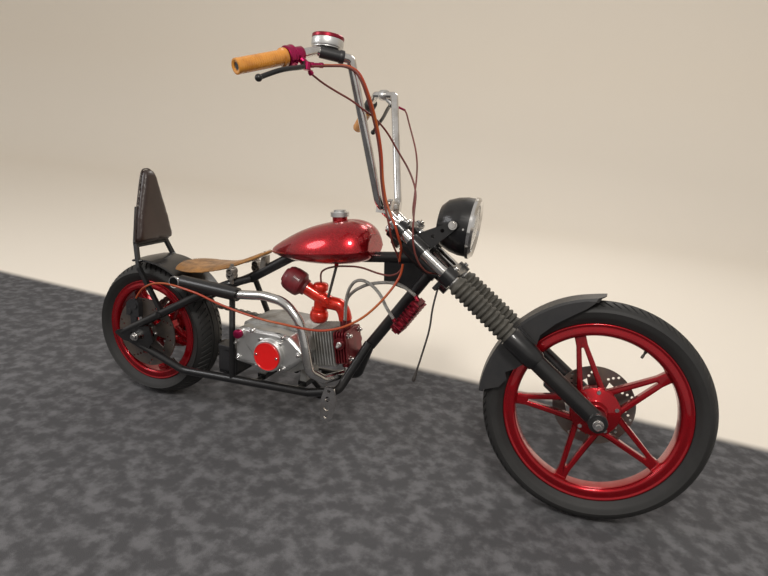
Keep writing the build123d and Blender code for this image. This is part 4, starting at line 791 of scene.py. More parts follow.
def make_floor(settings):
    """The studio's floor and wall, as one sheet."""
    foot = [k / 12 * math.pi / 2 for k in range(1, 13)]
    side = [(FLOOR_FRONT, 0.0), (FLOOR_BACK, 0.0)]
    side += [(FLOOR_BACK + FOOT_R * math.sin(a), FOOT_R - FOOT_R * math.cos(a)) for a in foot]
    side.append((FLOOR_BACK + FOOT_R, WALL_TOP))
    bm = bmesh.new()
    verts = [bm.verts.new((-FLOOR_HALF, y, z)) for y, z in side]
    edges = [bm.edges.new(pair) for pair in zip(verts, verts[1:])]
    made = bmesh.ops.extrude_edge_only(bm, edges=edges)["geom"]
    far = [v for v in made if isinstance(v, bmesh.types.BMVert)]
    bmesh.ops.translate(bm, verts=far, vec=(2 * FLOOR_HALF, 0, 0))
    bmesh.ops.recalc_face_normals(bm, faces=bm.faces[:])
    mesh = bpy.data.meshes.new("studio_floor")
    bm.to_mesh(mesh)
    bm.free()
    floor = bpy.data.objects.new("studio_floor", mesh)
    smooth_all(floor)
    # Just under the tyres, so that no face lies in another
    floor.location = (0, 0, -0.0005)
    bpy.context.scene.collection.objects.link(floor)
    mesh.materials.append(stage_finish(settings))


def make_lamps():
    """Soft lamps that look at the machine."""
    for name, place, size, power, tint in LAMPS:
        light = bpy.data.lights.new(name, "AREA")
        light.shape = "DISK"
        light.size = size
        light.energy = power
        light.color = tint
        lamp = bpy.data.objects.new(name, light)
        bpy.context.scene.collection.objects.link(lamp)
        lamp.location = place
        lamp.rotation_euler = (LAMP_AIM - Vector(place)).to_track_quat("-Z", "Y").to_euler()


def make_world(settings):
    """An even fill, and the backdrop's own brightness for what the camera, metal and glass see."""
    world = bpy.data.worlds.new("Studio")
    bpy.context.scene.world = world
    world.use_nodes = True
    tree = world.node_tree
    rays = add_node(tree, "ShaderNodeLightPath").outputs
    seen = calc(tree, "MAXIMUM", rays["Is Camera Ray"], rays["Is Glossy Ray"])
    seen = calc(tree, "MAXIMUM", seen, rays["Is Transmission Ray"])
    values = [("Value", seen), ("To Min", WORLD_FILL), ("To Max", settings.backdrop)]
    strength = add_node(tree, "ShaderNodeMapRange", values).outputs[0]
    set_inputs(tree, tree.nodes["Background"], [("Color", WORLD_COLOUR), ("Strength", strength)])


def make_camera():
    """The camera at the picture's place."""
    data = bpy.data.cameras.new("picture_camera")
    data.lens = CAMERA_LENS
    data.sensor_width = 36.0
    camera = bpy.data.objects.new("picture_camera", data)
    bpy.context.scene.collection.objects.link(camera)
    camera.location = CAMERA_PLACE
    camera.rotation_euler = [math.radians(a) for a in CAMERA_TURN]
    bpy.context.scene.camera = camera


class CHOPPER_OT_stage(bpy.types.Operator):
    """Floor, soft studio light and the camera at the picture's place"""

    bl_idname = "chopper.stage"
    bl_label = "Studio and camera"

    def execute(self, context):
        make_floor(context.scene.chopper)
        make_lamps()
        make_world(context.scene.chopper)
        make_camera()
        context.scene.view_settings.view_transform = "Standard"
        return {"FINISHED"}


# The nodes whose finish differs from others in their slot
OWN_FINISH = {
    "carburettor": "carb_red",
    "air_filter": "filter_red",
    "clutch_cover_disc": "red_plastic",
    "cylinder_head": "head_red",
    "cylinder_barrel": "fins",
    "exhaust_header": "pipe_silver",
    "lever_cable": "red_sleeve",
    "clutch_cable": "red_sleeve",
}


def node_finish(name):
    return FINISHES[OWN_FINISH.get(name, SLOTS[name])]


class CHOPPER_OT_finishes(bpy.types.Operator):
    """Gives every solid of the part its finish"""

    bl_idname = "chopper.finishes"
    bl_label = "Finishes"

    def execute(self, context):
        for made in (paint_finishes(), metal_finishes(), soft_finishes(), small_finishes()):
            FINISHES.update(made)
        for name in SLOTS:
            mesh = NODES[name].data
            if not mesh.materials:
                mesh.materials.append(node_finish(name))
            for k in range(len(mesh.materials)):
                mesh.materials[k] = node_finish(name)
        return {"FINISHED"}


# columns: node, body, width of its rounded edges in mm, whether short edges hold the width back
CAST = (
    ("front_wheel_rim", "front_wheel", 2.2, False),
    ("rear_wheel_rim", "rear_wheel", 2.4, False),
    ("front_brake_disc", "front_wheel", 0.4, True),
    ("rear_brake_disc", "rear_wheel", 0.4, True),
    ("fork_yokes", "steering", 1.5, False),
    ("fork_lowers", "steering", 1.5, False),
    ("front_caliper", "steering", 1.5, True),
    ("headlight_bucket", "steering", 1.0, True),
    ("bar_risers", "steering", 1.2, True),
    ("clutch_cover", "frame", 3.0, False),
    ("engine_crankcase", "frame", 2.5, True),
    ("flywheel_cover", "frame", 2.0, True),
    ("cylinder_barrel", "frame", 0.5, True),
    ("cylinder_head", "frame", 0.6, True),
    ("carburettor", "frame", 1.0, True),
    ("oil_cooler", "frame", 0.5, True),
    ("battery_box", "frame", 2.0, False),
    ("rear_caliper", "frame", 1.5, True),
    ("rear_mudguard", "frame", 0.7, True),
    ("frame_rear_stays", "frame", 1.0, True),
    ("peg_bracket", "frame", 0.6, True),
    ("saddle_mounts", "frame", 0.5, True),
)
# Two corners closer than this are one, in metres, and flatter edges than this go, in radians
WELD = 2e-5
FLAT_ANGLE = 0.01
SHARP_ANGLE = 0.55


def ear_clip(bm, corners):
    """Splits faces with more corners by ear clipping, which leaves the slits and holes in them open."""
    wide = [f for f in bm.faces if len(f.verts) > corners]
    bmesh.ops.triangulate(bm, faces=wide, ngon_method="EAR_CLIP")


class CHOPPER_OT_castings(bpy.types.Operator):
    """Rounds the edges of castings, mouldings and plates, which keep their own form"""

    bl_idname = "chopper.castings"
    bl_label = "Rounded castings"

    def execute(self, context):
        for name, body, width, hold in CAST:
            source = NODES[name]
            bm = bmesh.new()
            bm.from_mesh(source.data)
            bm.transform(source.matrix_world)
            bmesh.ops.remove_doubles(bm, verts=bm.verts[:], dist=WELD)
            bmesh.ops.dissolve_limit(bm, angle_limit=FLAT_ANGLE, verts=bm.verts[:], edges=bm.edges[:])
            ear_clip(bm, 4)
            bevel_sharp(bm, width * MM, 2, SHARP_ANGLE, hold)
            ear_clip(bm, 3)
            shape = piece(name + "_finished", bm, SLOTS[name], body, replaces=(name,), place=AS_MADE)
            shape.data.materials[0] = node_finish(name)
            # Large flat faces keep an even shade beside their narrow rounded edges
            weighted = shape.modifiers.new("Weighted Normal", "WEIGHTED_NORMAL")
            weighted.keep_sharp = True
            apply_modifiers(shape)
        return {"FINISHED"}


# Control points of the free instrument cable from the lower yoke's lug, as t, y, n on the fork in mm
CABLE_RUN = [
    (499.98, -60, -46.0),
    (479.1, -60, -88.3),
    (442.8, -60, -136.1),
    (418.1, -61, -184.8),
    (392.2, -60, -238.7),
    (377.1, -58, -272.1),
]
CABLE_R = 2.6


class CHOPPER_OT_cables(bpy.types.Operator):
    """The loose instrument cable and its end fitting"""

    bl_idname = "chopper.cables"
    bl_label = "Cables"

    def execute(self, context):
        points = [STEERED @ fork(*row) for row in CABLE_RUN]
        run = tube_curve("instrument_cable_run", points, CABLE_R, resolution=12)
        run.data.materials.append(FINISHES["black_sleeve"])
        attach(run, "steering")
        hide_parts("instrument_cable")
        profile = [
            (0, 1.5), (2.4, 1.5), (2.4, 0), (4.6, -0.5), (5, -2),
            (5, -11), (4.4, -13), (3.8, -24), (3.0, -27), (0, -27),
        ]
        tip = turned(profile, 24, points[-1], points[-1] - points[-2])
        end = piece("instrument_cable_end", tip, "black_sleeve", "steering", place=AS_MADE)
        return {"FINISHED"}


# The tread's edge and how far it drops there, as shares of a tyre's half width
TREAD_HALF = 0.93
TREAD_DROP = 0.42
# Its channels, shoulders and column edges, as shares of the way from its middle to its edge
CHANNEL = (0.17, 0.24)
SHOULDER = (0.34, 0.86)
TREAD_COLUMNS = (*CHANNEL, SHOULDER[0], 0.52, 0.7, SHOULDER[1], 1)
STEPS_PER_PITCH = 3
GROOVE_DRAFT = 0.0007
# How far the chevrons lean at the tread's edge, in radians on a tyre of this radius
TREAD_LEAN = 0.16
TREAD_LEAN_R = 220


def tyre_profile(wheel):
    """A tyre's whole section as (radius, across) in millimetres, with an edge at each tread column."""
    edge = wheel.half * TREAD_HALF
    crown_r = wheel.half * (TREAD_HALF**2 + TREAD_DROP**2) / (2 * TREAD_DROP)
    columns = [edge * share for share in TREAD_COLUMNS]
    columns = [-y for y in reversed(columns)] + [0.0] + columns
    crown = [(wheel.outer - crown_r + math.sqrt(crown_r**2 - y * y), y) for y in columns]
    # The wall is a curve through the tread's edge, the widest place and the rim's flange
    low = wheel.outer - wheel.half * TREAD_DROP
    side_r = wheel.outer * 0.42 + wheel.flange * 0.58
    side = wheel.half * 0.97
    wall = []
    for k in range(1, 10):
        u = k / 10
        from_edge = (1 - u) * (1 - 2 * u)
        from_side = 4 * u * (1 - u)
        from_flange = u * (2 * u - 1)
        r = from_edge * low + from_side * side_r + from_flange * (wheel.flange + 2)
        y = from_edge * edge + from_side * side + from_flange * wheel.rim_half
        ridge = 0.9 if k in (3, 7) else 0.0
        wall.append((r, y + ridge))
    bead = [(1.2, 0.5), (0.5, 3.5), (-13, 6.5)]
    wall += [(wheel.flange + out, wheel.rim_half - inward) for out, inward in bead]
    return [(r, -y) for r, y in reversed(wall)] + crown + wall


def is_grooved(face, wheel, steps):
    """Whether a face of the tread lies in a channel of the crown or in a chevron of the shoulder."""
    c = face.calc_center_median()
    y = abs(c.z) / MM / (wheel.half * TREAD_HALF)
    if math.hypot(c.x, c.y) / MM < wheel.outer - wheel.half * TREAD_DROP or y > SHOULDER[1]:
        return False
    segment = int(round((math.degrees(math.atan2(c.y, c.x)) % 360) / (360 / steps) - 0.5))
    chevron = segment % STEPS_PER_PITCH == (0 if c.z > 0 else 1)
    return CHANNEL[0] < y < CHANNEL[1] or (SHOULDER[0] < y < SHOULDER[1] and chevron)


def build_tyre(end, pitches, depth):
    """A tyre with a channelled crown and chevron grooves cut into its shoulders."""
    wheel = WHEELS[end]
    steps = pitches * STEPS_PER_PITCH
    bm = bmesh.new()
    verts = [bm.verts.new(mm(r, 0, y)) for r, y in tyre_profile(wheel)]
    edges = [bm.edges.new(pair) for pair in zip(verts, verts[1:] + verts[:1])]
    spin_round(bm, verts + edges, steps)
    bmesh.ops.recalc_face_normals(bm, faces=bm.faces[:])
    grooves = [face for face in bm.faces if is_grooved(face, wheel, steps)]
    bmesh.ops.inset_region(bm, faces=grooves, thickness=GROOVE_DRAFT, depth=-depth, use_even_offset=True)
    edge = wheel.half * TREAD_HALF
    low = wheel.outer - wheel.half * TREAD_DROP
    for vert in bm.verts:
        y = min(abs(vert.co.z) / MM / edge, 1.0)
        r = math.hypot(vert.co.x, vert.co.y) / MM
        share = max(0.0, min(1.0, (r - wheel.flange) / (low - wheel.flange)))
        lean = TREAD_LEAN * y * y * share * TREAD_LEAN_R / wheel.outer
        vert.co = Matrix.Rotation(lean, 3, "Z") @ vert.co
    tyre = scatter(bm, [aim(wheel.axle, LEFT)])
    piece(end + "_tread_tyre", tyre, "tyre", end + "_wheel", replaces=(end + "_tyre",), smooth_angle=28)


class CHOPPER_OT_tyres(bpy.types.Operator):
    """Both tyres with their tread"""

    bl_idname = "chopper.tyres"
    bl_label = "Tyres"

    def execute(self, context):
        settings = context.scene.chopper
        build_tyre("front", settings.front_pitches, settings.groove_depth)
        build_tyre("rear", settings.rear_pitches, settings.groove_depth)
        return {"FINISHED"}


# columns: share of the way from the flange in to the well, height over the rim's face in millimetres
LIP_ROWS = [
    (0.01, -2.2),
    (0.01, 1.0),
    (0.05, 1.8),
    (0.14, 1.9),
    (0.20, 0.8),
    (0.30, 0.4),
    (0.40, 0.8),
    (0.56, 2.0),
    (0.76, 2.5),
    (0.90, 1.9),
    (0.97, 0.6),
    (0.99, -2.2),
    (0.01, -2.2),
]
# For each wheel, its rings of bolts: side, radius, count, first angle, height from the wheel's middle
HUB_RINGS = {
    "front": ((RIGHT, 52, 5, 18, 14.0), (LEFT, 52, 5, 18, 14.2), (LEFT, 38, 5, 0, 49.6)),
    "rear": ((RIGHT, 50, 5, 20, 14.0), (RIGHT, 33, 5, 0, 67.7), (LEFT, 37, 6, 0, 76.4)),
}
FRONT_NUT_Y = 122.9
REAR_NUT_Y = 122.0


def rim_lips(end):
    """The stepped faces of a cast rim, from its flange in to its well."""
    wheel = WHEELS[end]
    profile = [(wheel.flange + (wheel.well - wheel.flange) * u, wheel.rim_half + h) for u, h in LIP_ROWS]
    ring = scatter(lathe(profile, 120), [aim(wheel.axle, LEFT), aim(wheel.axle, RIGHT)])
    piece(end + "_rim_lips", ring, "red_paint", end + "_wheel", smooth_angle=60)


def hub_bolts(end):
    """The bolts in a hub's flanges."""
    places = []
    for side, radius, count, first, height in HUB_RINGS[end]:
        places += ring_places(WHEELS[end].axle, side, radius, count, first, height)
    piece(end + "_hub_bolts", scatter(hex_bolt(10, 5.5), places), "chrome", end + "_wheel")


def valve(end, radius, degrees, neck, length):
    """A tyre valve that leans out of the rim's well."""
    profile = [
        (0, 0), (4.2, 0), (4.2, 5), (3, 6), (3, neck), (3.6, neck + 0.5), (3.6, length - 1), (2.8, length),
        (0, length),
    ]
    angle = math.radians(degrees)
    c = math.cos(angle)
    s = math.sin(angle)
    stem = turned(profile, 16, WHEELS[end].axle + mm(radius * c, 0, radius * s), Vector((-c, -0.45, -s)))
    piece(end + "_valve", stem, "black_rubber", end + "_wheel")


class CHOPPER_OT_wheels(bpy.types.Operator):
    """Rim lips, bolts, valves and nuts on both wheels"""

    bl_idname = "chopper.wheels"
    bl_label = "Wheel fittings"

    def execute(self, context):
        for end in WHEELS:
            rim_lips(end)
        for end in WHEELS:
            hub_bolts(end)
        valve("front", 196.5, 62, 13, 21)
        valve("rear", 137.5, -60, 20, 29)
        nuts = mirrored_places(lambda side: aim(FRONT_AXLE + mm(0, side * FRONT_NUT_Y, 0), LEFT * side))
        piece("front_axle_nuts", scatter(hex_bolt(20, 8, 1.25, 6.0), nuts), "chrome", "steering")
        nuts = mirrored_places(lambda side: aim(REAR_AXLE + mm(0, side * REAR_NUT_Y, 0), LEFT * side))
        piece("rear_axle_nuts", scatter(hex_bolt(19, 7, 1.25), nuts), "chrome", "frame")
        return {"FINISHED"}


# Saddle, in millimetres
SADDLE_BACK = 97
SADDLE_LENGTH = 311
SADDLE_THICK = 10.0
SADDLE_DROP = 9.0
# columns: distance forward, half width
SADDLE_HALF = [
    (97, 14), (100, 40), (106, 58), (118, 76), (134, 87), (156, 94), (190, 96.5), (214, 93),
    (240, 84), (266, 71), (296, 57), (330, 44), (364, 34), (392, 25), (402, 18), (408, 8),
]
# columns: distance forward, height of the middle of the skin
SADDLE_MID = [
    (96, 459), (104, 460), (130, 461), (180, 463), (220, 468), (262, 477.5),
    (300, 489), (334, 504), (370, 522), (398, 537), (410, 542),
]
SEAT_ROWS = 32
SEAT_COLUMNS = 16
SEAM_INSET = 0.86
STITCHES = 120
# The springs under the saddle: the left one's foot, their radius and height in millimetres
COIL_FOOT = (318, 66, 462)
COIL_R = 7.5
COIL_HEIGHT = 22
COIL_TURNS = 4
COIL_STEPS = 12


def interpolate(rows, x):
    """A value on the straight lines between (x, value) rows."""
    if x <= rows[0][0]:
        return rows[0][1]
    for (x0, v0), (x1, v1) in zip(rows, rows[1:]):
        if x <= x1:
            return v0 + (v1 - v0) * (x - x0) / (x1 - x0)
    return rows[-1][1]


def saddle_point(u, v, side):
    """A point of the saddle: u from back to front, v from right to left, side 1 on top and -1 below."""
    x = SADDLE_BACK + SADDLE_LENGTH * u
    half = interpolate(SADDLE_HALF, x)
    rim = max(0.0, abs(v) - SEAM_INSET) / (1 - SEAM_INSET)
    thick = SADDLE_THICK / 2 * math.sqrt(max(0.0, 1 - rim**2 * 0.92))
    drop = SADDLE_DROP * min(1.0, (1 - u) * 2.2) * abs(v) ** 3.5 - 1.5
    return mm(x, v * half, interpolate(SADDLE_MID, x) - drop + side * thick)


def saddle_shell():
    """Two grids bent to the saddle's top and underside, and joined round their borders."""
    bm = bmesh.new()
    for side in (1, -1):
        grid = bmesh.ops.create_grid(bm, x_segments=SEAT_ROWS, y_segments=SEAT_COLUMNS, size=1.0)
        for vert in grid["verts"]:
            vert.co = saddle_point((vert.co.x + 1) / 2, math.sin(vert.co.y * math.pi / 2), side)
    bmesh.ops.bridge_loops(bm, edges=[e for e in bm.edges if e.is_boundary])
    bmesh.ops.recalc_face_normals(bm, faces=bm.faces[:])
    return bm


def saddle_stitches():
    """A thread round the top of the saddle, one stitch beside the next."""
    seam = []
    for k in range(STITCHES):
        angle = k / STITCHES * math.tau
        across = math.copysign(abs(math.sin(angle)) ** 0.6, math.sin(angle))
        seam.append(saddle_point(0.5 - 0.485 * math.cos(angle), across * SEAM_INSET, 1))
    places = []
    for a, b in zip(seam, seam[1:] + seam[:1]):
        long = Matrix.Diagonal((1, 1, min((b - a).length * 330, 2.2), 1))
        places.append(aim((a + b) / 2 + mm(0, 0, 0.5), b - a) @ long)
    thread = bmesh.new()
    bmesh.ops.create_icosphere(thread, subdivisions=1, radius=0.00075)
    return scatter(thread, places)


def saddle_coil(side):
    """One of the two springs under the saddle."""
    count = COIL_TURNS * COIL_STEPS
    x, y, z = COIL_FOOT
    points = []
    for k in range(count + 1):
        angle = k / COIL_STEPS * math.tau
        across = COIL_R * math.sin(angle)
        points.append(mm(x + COIL_R * math.cos(angle), side * y + across, z + COIL_HEIGHT * k / count))
    return tube(points, 1.5, resolution=4, sides=3)


class CHOPPER_OT_saddle(bpy.types.Operator):
    """The sprung leather saddle with its stitching, rivets and springs"""

    bl_idname = "chopper.saddle"
    bl_label = "Saddle"

    def execute(self, context):
        shell = saddle_shell()
        skin = piece("saddle_skin", shell, "tan_leather", "frame", replaces=("saddle",), smooth_angle=70)
        swell(skin, 0.0012)
        subdivide_once(skin)
        piece("saddle_stitches", saddle_stitches(), "tan_leather", "frame", "thread")
        rivet = lathe([(0, 2.2), (2.2, 1.9), (3.8, 1.0), (4.4, 0), (0, 0)], 20)
        spots = ((0.06, 0.3), (0.06, -0.3), (0.93, 0.0))
        rivets = [aim(saddle_point(u, v, 1) - mm(0, 0, 0.6), UP) for u, v in spots]
        piece("saddle_rivets", scatter(rivet, rivets), "steel", "frame")
        piece("saddle_springs", joined(saddle_coil(-1), saddle_coil(1)), "steel", "frame")
        return {"FINISHED"}


# Backrest pad, in millimetres; columns: half width, height above the pad's foot
PAD_HALF = [
    (70, 0), (75, 4), (77, 14), (72, 48), (66, 80), (56, 115),
    (46, 150), (36, 184), (26, 214), (18, 227), (8, 231),
]
PAD_OUTLINE = PAD_HALF + [(-y, z) for y, z in reversed(PAD_HALF)]
PAD_MIDDLE = 92.0
PAD_FOOT = (-36, 0, 506)
PAD_SLOPE = 0.113
# columns: depth from the pad's back, share of the outline there
PAD_STEPS = ((1.2, 0.97), (3, 0.985), (13, 0.985), (19, 0.965), (22.5, 0.9), (23.5, 0.6), (24, 0.25))


def pad_ring(share, depth):
    """The pad's outline, drawn in to a share of its size, at a depth forward of its back."""
    forward = Vector((1, 0, PAD_SLOPE)).normalized()
    upward = Vector((-PAD_SLOPE, 0, 1)).normalized()
    ring = []
    for y, z in PAD_OUTLINE:
        height = PAD_MIDDLE + (z - PAD_MIDDLE) * share
        ring.append(mm(*PAD_FOOT) + (forward * depth + upward * height + LEFT * y * share) * MM)
    return ring


def pad_cover():
    """Rings of the pad's outline, bridged one to the next and closed at both ends."""
    bm = bmesh.new()
    rings = []
    for depth, share in PAD_STEPS:
        verts = [bm.verts.new(point) for point in pad_ring(share, depth)]
        rings.append([bm.edges.new(pair) for pair in zip(verts, verts[1:] + verts[:1])])
    for a, b in zip(rings, rings[1:]):
        bmesh.ops.bridge_loops(bm, edges=a + b)
    bmesh.ops.edgeloop_fill(bm, edges=rings[0] + rings[-1])
    bmesh.ops.triangulate(bm, faces=[f for f in bm.faces if len(f.verts) > 4])
    bmesh.ops.recalc_face_normals(bm, faces=bm.faces[:])
    return bm


class CHOPPER_OT_backrest(bpy.types.Operator):
    """The backrest's padded cover with its piping"""

    bl_idname = "chopper.backrest"
    bl_label = "Backrest pad"

    def execute(self, context):
        pad = piece(
            "backrest_cover", pad_cover(), "brown_leather", "frame",
            replaces=("backrest_pad",), smooth_angle=80,
        )
        swell(pad, context.scene.chopper.puff * 0.5)
        subdivide_once(pad)
        border = pad_ring(0.985, 4.2)
        piping = tube(border + border[:1], 2.2, resolution=6, sides=3)
        piece("backrest_piping", piping, "brown_leather", "frame", smooth_angle=80)
        return {"FINISHED"}


# The left half of the handlebar from the top of the fork: its end, its bend and the run down from it
BAR_END = (-308, 410, 296)
BAR_BEND = (-206, 243, 378)
BAR_CLIMB = (-135, 203, 374)
BAR_BORE = 11.1
GRIP_RIBS = 19
RIB_PITCH = 5.6


def bar_point(side, s):
    """A point on the bar's outer run, s millimetres from its end, on the left for side 1."""
    end = top(*BAR_END)
    p = end + (top(*BAR_BEND) - end).normalized() * s * MM
    return Vector((p.x, side * p.y, p.z))


def bar_line(side):
    """The way along the bar's outer run, from its end."""
    return (bar_point(side, 100) - bar_point(side, 0)).normalized()


def inner_run(side, share):
    """A point on the bar's inner run, as a share of the way from its bend."""
    bend, climb = (top(x, side * y, z) for x, y, z in (BAR_BEND, BAR_CLIMB))
    return bend + (climb - bend) * share


def on_bar(profile, steps, side):
    """A turned form round the bar, whose heights are distances from the bar's end."""
    return turned(profile, steps, bar_point(side, 0), bar_line(side))


def sleeve(low, high, radius, chamfer, step=1):
    """The profile of a sleeve on the bar with chamfered ends."""
    return [
        (BAR_BORE, low),
        (radius - chamfer, low),
        (radius, low + step),
        (radius, high - step),
        (radius - chamfer, high),
        (BAR_BORE, high),
    ]


def puck(radius, half):
    """The profile of a low round boss with edges chamfered by a millimetre."""
    lower = [(0, -half), (radius - 1, -half), (radius, 1 - half)]
    return lower + [(r, -h) for r, h in reversed(lower)]


class CHOPPER_OT_grips(bpy.types.Operator):
    """Ribbed grips and the throttle's collar"""

    bl_idname = "chopper.grips"
    bl_label = "Grips"

    def execute(self, context):
        profile = [(9, -1.5), (14, -3.2), (16.8, -2.5), (17.4, 2)]
        for k in range(GRIP_RIBS):
            a = 6 + k * RIB_PITCH
            profile += [(16.9, a), (16.9, a + 3.4), (16.2, a + 4.0), (16.2, a + 5.0)]
        profile += [(17.0, 112.6), (20.6, 115), (20.8, 121), (20, 123.5), (11.4, 123.6)]
        profile += [(11.4, -0.5), (9, -0.5), (9, -1.5)]
        grips = joined(*mirrored_places(lambda side: on_bar(profile, 48, side)))
        bmesh.ops.recalc_face_normals(grips, faces=grips.faces[:])
        piece("ribbed_grips", grips, "amber_rubber", "steering", replaces=("hand_grips",), smooth_angle=25)
        profile = [(BAR_BORE, 125), (22, 125), (23.8, 127), (23.8, 131), (22.6, 132)]
        profile += [(22.6, 139), (23.8, 140), (23.8, 144), (22, 146), (BAR_BORE, 146)]
        collar = on_bar(profile, 48, -1)
        piece("throttle_collar", collar, "red_anodised", "steering", "magenta_anodised", ("bar_controls",))
        return {"FINISHED"}


# Roots of the two lever perches on the bar, and their outer ends
RIGHT_ROOT = bar_point(-1, 158)
RIGHT_PERCH = RIGHT_ROOT + mm(22, 2, -20)
LEFT_LINE = (inner_run(1, 1) - inner_run(1, 0)).normalized()
LEFT_ROOT = inner_run(1, 0) + LEFT_LINE * 37 * MM
LEFT_PERCH = LEFT_ROOT + mm(28, 0, -24)
CABLE_ADJUSTER = top(-100, 212, 336)
# columns: where a cable starts at the right perch, its radius
CABLE_STARTS = ((fork(1046, -274, 158), 5.0), (fork(1046, -296, 146), 4.4), (fork(1031, -268, 146), 4.2))


def cable_barrels():
    """The arms and barrels that hold the cables on the right, and the long adjuster on the first."""
    parts = []
    for start, r in CABLE_STARTS:
        parts.append(tube([RIGHT_PERCH, (RIGHT_PERCH + start) / 2, start], r, sides=5))
        profile = [(r - 1, -7), (r + 1.6, -7), (r + 2, -6), (r + 2, 0), (r + 1, 1), (r - 1, 1)]
        parts.append(turned(profile, 14, start, (start - RIGHT_PERCH).normalized()))
    start = CABLE_STARTS[0][0]
    onward = fork(1022.8, -243, 184.7)
    profile = [(3.3, 1), (6, 1), (6.4, 2), (6.4, 10), (5.2, 11)]
    profile += [(5.2, 24), (6.2, 25), (6.2, 32), (4.4, 34), (3.3, 34)]
    parts.append(turned(profile, 16, start, onward - start))
    return joined(*parts)


def lever(pivot, knuckle, tip):
    """A bowed lever with its pivot boss and the ball at its tip."""
    bow = (knuckle + tip) / 2 + mm(8, 0, 8)
    run = [pivot, (pivot + knuckle) / 2, knuckle, bow, (bow + tip) / 2 + mm(-3, 0, 0), tip]
    ball = bmesh.new()
    bmesh.ops.create_uvsphere(
        ball, u_segments=20, v_segments=12, radius=0.0082, matrix=Matrix.Translation(tip)
    )
    boss = turned(puck(9, 7), 24, pivot + (knuckle - pivot) * 0.2, UP)
    return joined(tube(run, 5.6, sides=5), ball, boss)


class CHOPPER_OT_levers(bpy.types.Operator):
    """Perches, cable barrels, levers and the switch on the handlebar"""

    bl_idname = "chopper.levers"
    bl_label = "Levers"

    def execute(self, context):
        arm = [RIGHT_ROOT, (RIGHT_ROOT + RIGHT_PERCH) / 2, RIGHT_PERCH, RIGHT_PERCH + mm(9, -8, -3)]
        right = joined(
            on_bar(sleeve(147, 170, 17, 0.6), 40, -1),
            tube(arm, 8.6, sides=6),
            turned(puck(8.5, 9), 24, RIGHT_PERCH + mm(6, -6, -4), UP),
        )
        left = joined(
            turned(sleeve(26, 48, 16, 0.6), 36, inner_run(1, 0), LEFT_LINE),
            tube([LEFT_ROOT, (LEFT_ROOT + LEFT_PERCH) / 2, LEFT_PERCH], 8.6, sides=6),
        )
        piece("right_perch", right, "red_anodised", "steering", "magenta_anodised")
        piece("left_perch", left, "alloy", "steering")
        thumb = [(0, 8), (6.2, 8), (6.8, 9), (6.8, 15), (6.2, 16), (0, 16)]
        adjuster = joined(
            tube([LEFT_PERCH, (LEFT_PERCH * 2 + CABLE_ADJUSTER) / 3, CABLE_ADJUSTER], 3.4),
            turned(thumb, 12, LEFT_PERCH, (CABLE_ADJUSTER - LEFT_PERCH).normalized()),
        )
        piece("cable_adjuster", adjuster, "red_anodised", "steering", "magenta_anodised")
        piece("cable_barrels", cable_barrels(), "red_anodised", "steering", "magenta_anodised")
        levers = joined(
            lever(RIGHT_PERCH, bar_point(-1, 128) + mm(40, 0, -20), bar_point(-1, 10) + mm(44, 0, -22)),
            lever(LEFT_PERCH, LEFT_PERCH + mm(-22, 36, -8), bar_point(1, 40) + mm(46, 0, -30)),
        )
        piece("brake_and_clutch_levers", levers, "black_plastic", "steering", "black_paint")
        switch = on_bar(sleeve(126, 166, 19, 1.4, 2), 32, 1)
        piece("switch_housing", switch, "black_plastic", "steering")
        return {"FINISHED"}


# The instrument's foot from the top of the fork, its dial's height over that and its scale
GAUGE = top(-196, -206, 392)
DIAL_Z = 26.65
DIAL_TICKS = 24
DIAL_SWEEP = 260


def dial_marks():
    """The ticks of the scale, the needle and its hub."""
    marks = bmesh.new()
    for k in range(DIAL_TICKS + 1):
        angle = math.radians(-DIAL_SWEEP / 2 + k * DIAL_SWEEP / DIAL_TICKS)
        long = 5.0 if k % 4 == 0 else 2.6
        tick = bmesh.new()
        bmesh.ops.create_cube(tick, size=1.0, matrix=Matrix.Diagonal((0.0008, long * MM, 0.0002, 1)))
        place = Matrix.Rotation(angle, 4, "Z") @ Matrix.Translation(mm(0, 30 - long / 2, DIAL_Z))
        merge(marks, tick, aim(GAUGE, UP) @ place)
    needle = bmesh.new()
    forward = Matrix.Translation((0, 0, 0.011))
    bmesh.ops.create_cone(
        needle, cap_ends=True, segments=12, radius1=0.0009, radius2=0.0003, depth=0.028, matrix=forward
    )
    merge(marks, needle, aim(GAUGE + mm(0, 0, 27.6), Vector((0.6, -0.8, 0))))
    hub = turned([(0, 26.6), (3, 26.6), (3, 28.4), (0, 28.8)], 20, GAUGE, UP)
    return joined(marks, hub)


def instrument_bracket_and_bar_shade():
    """The instrument's tray, its arm and the clamps on the right inner run of the bar; the long black clamp
    is partly a real clamp and partly painted shade and a painted dark reflection on the bar under the
    instrument.
    """
    tray = turned([(0, -5), (27, -5), (30, -3), (30, -0.1), (0, -0.1)], 40, GAUGE, UP)
    bolt = inner_run(-1, 0.72) + mm(0, 0, 12)
    arm = tube([GAUGE + mm(10, 5, -4), GAUGE + mm(34, -10, -7), GAUGE + mm(44, 6, -9), bolt], 4.2)
    # A black sleeve over most of the inner run: partly the instrument's clamp, partly painted shade and a
    # painted dark reflection where the chrome bar lies under the instrument
    clamp = tube([inner_run(-1, share) for share in (0.1, 0.4, 0.8)], 13.6, sides=8)
    way = inner_run(-1, 1) - inner_run(-1, 0)
    collar = [(BAR_BORE, 54), (14.6, 54), (15.4, 56), (15.4, 63), (14.6, 65), (BAR_BORE, 65)]
    return joined(tray, arm, clamp, turned(collar, 32, inner_run(-1, 0), way))


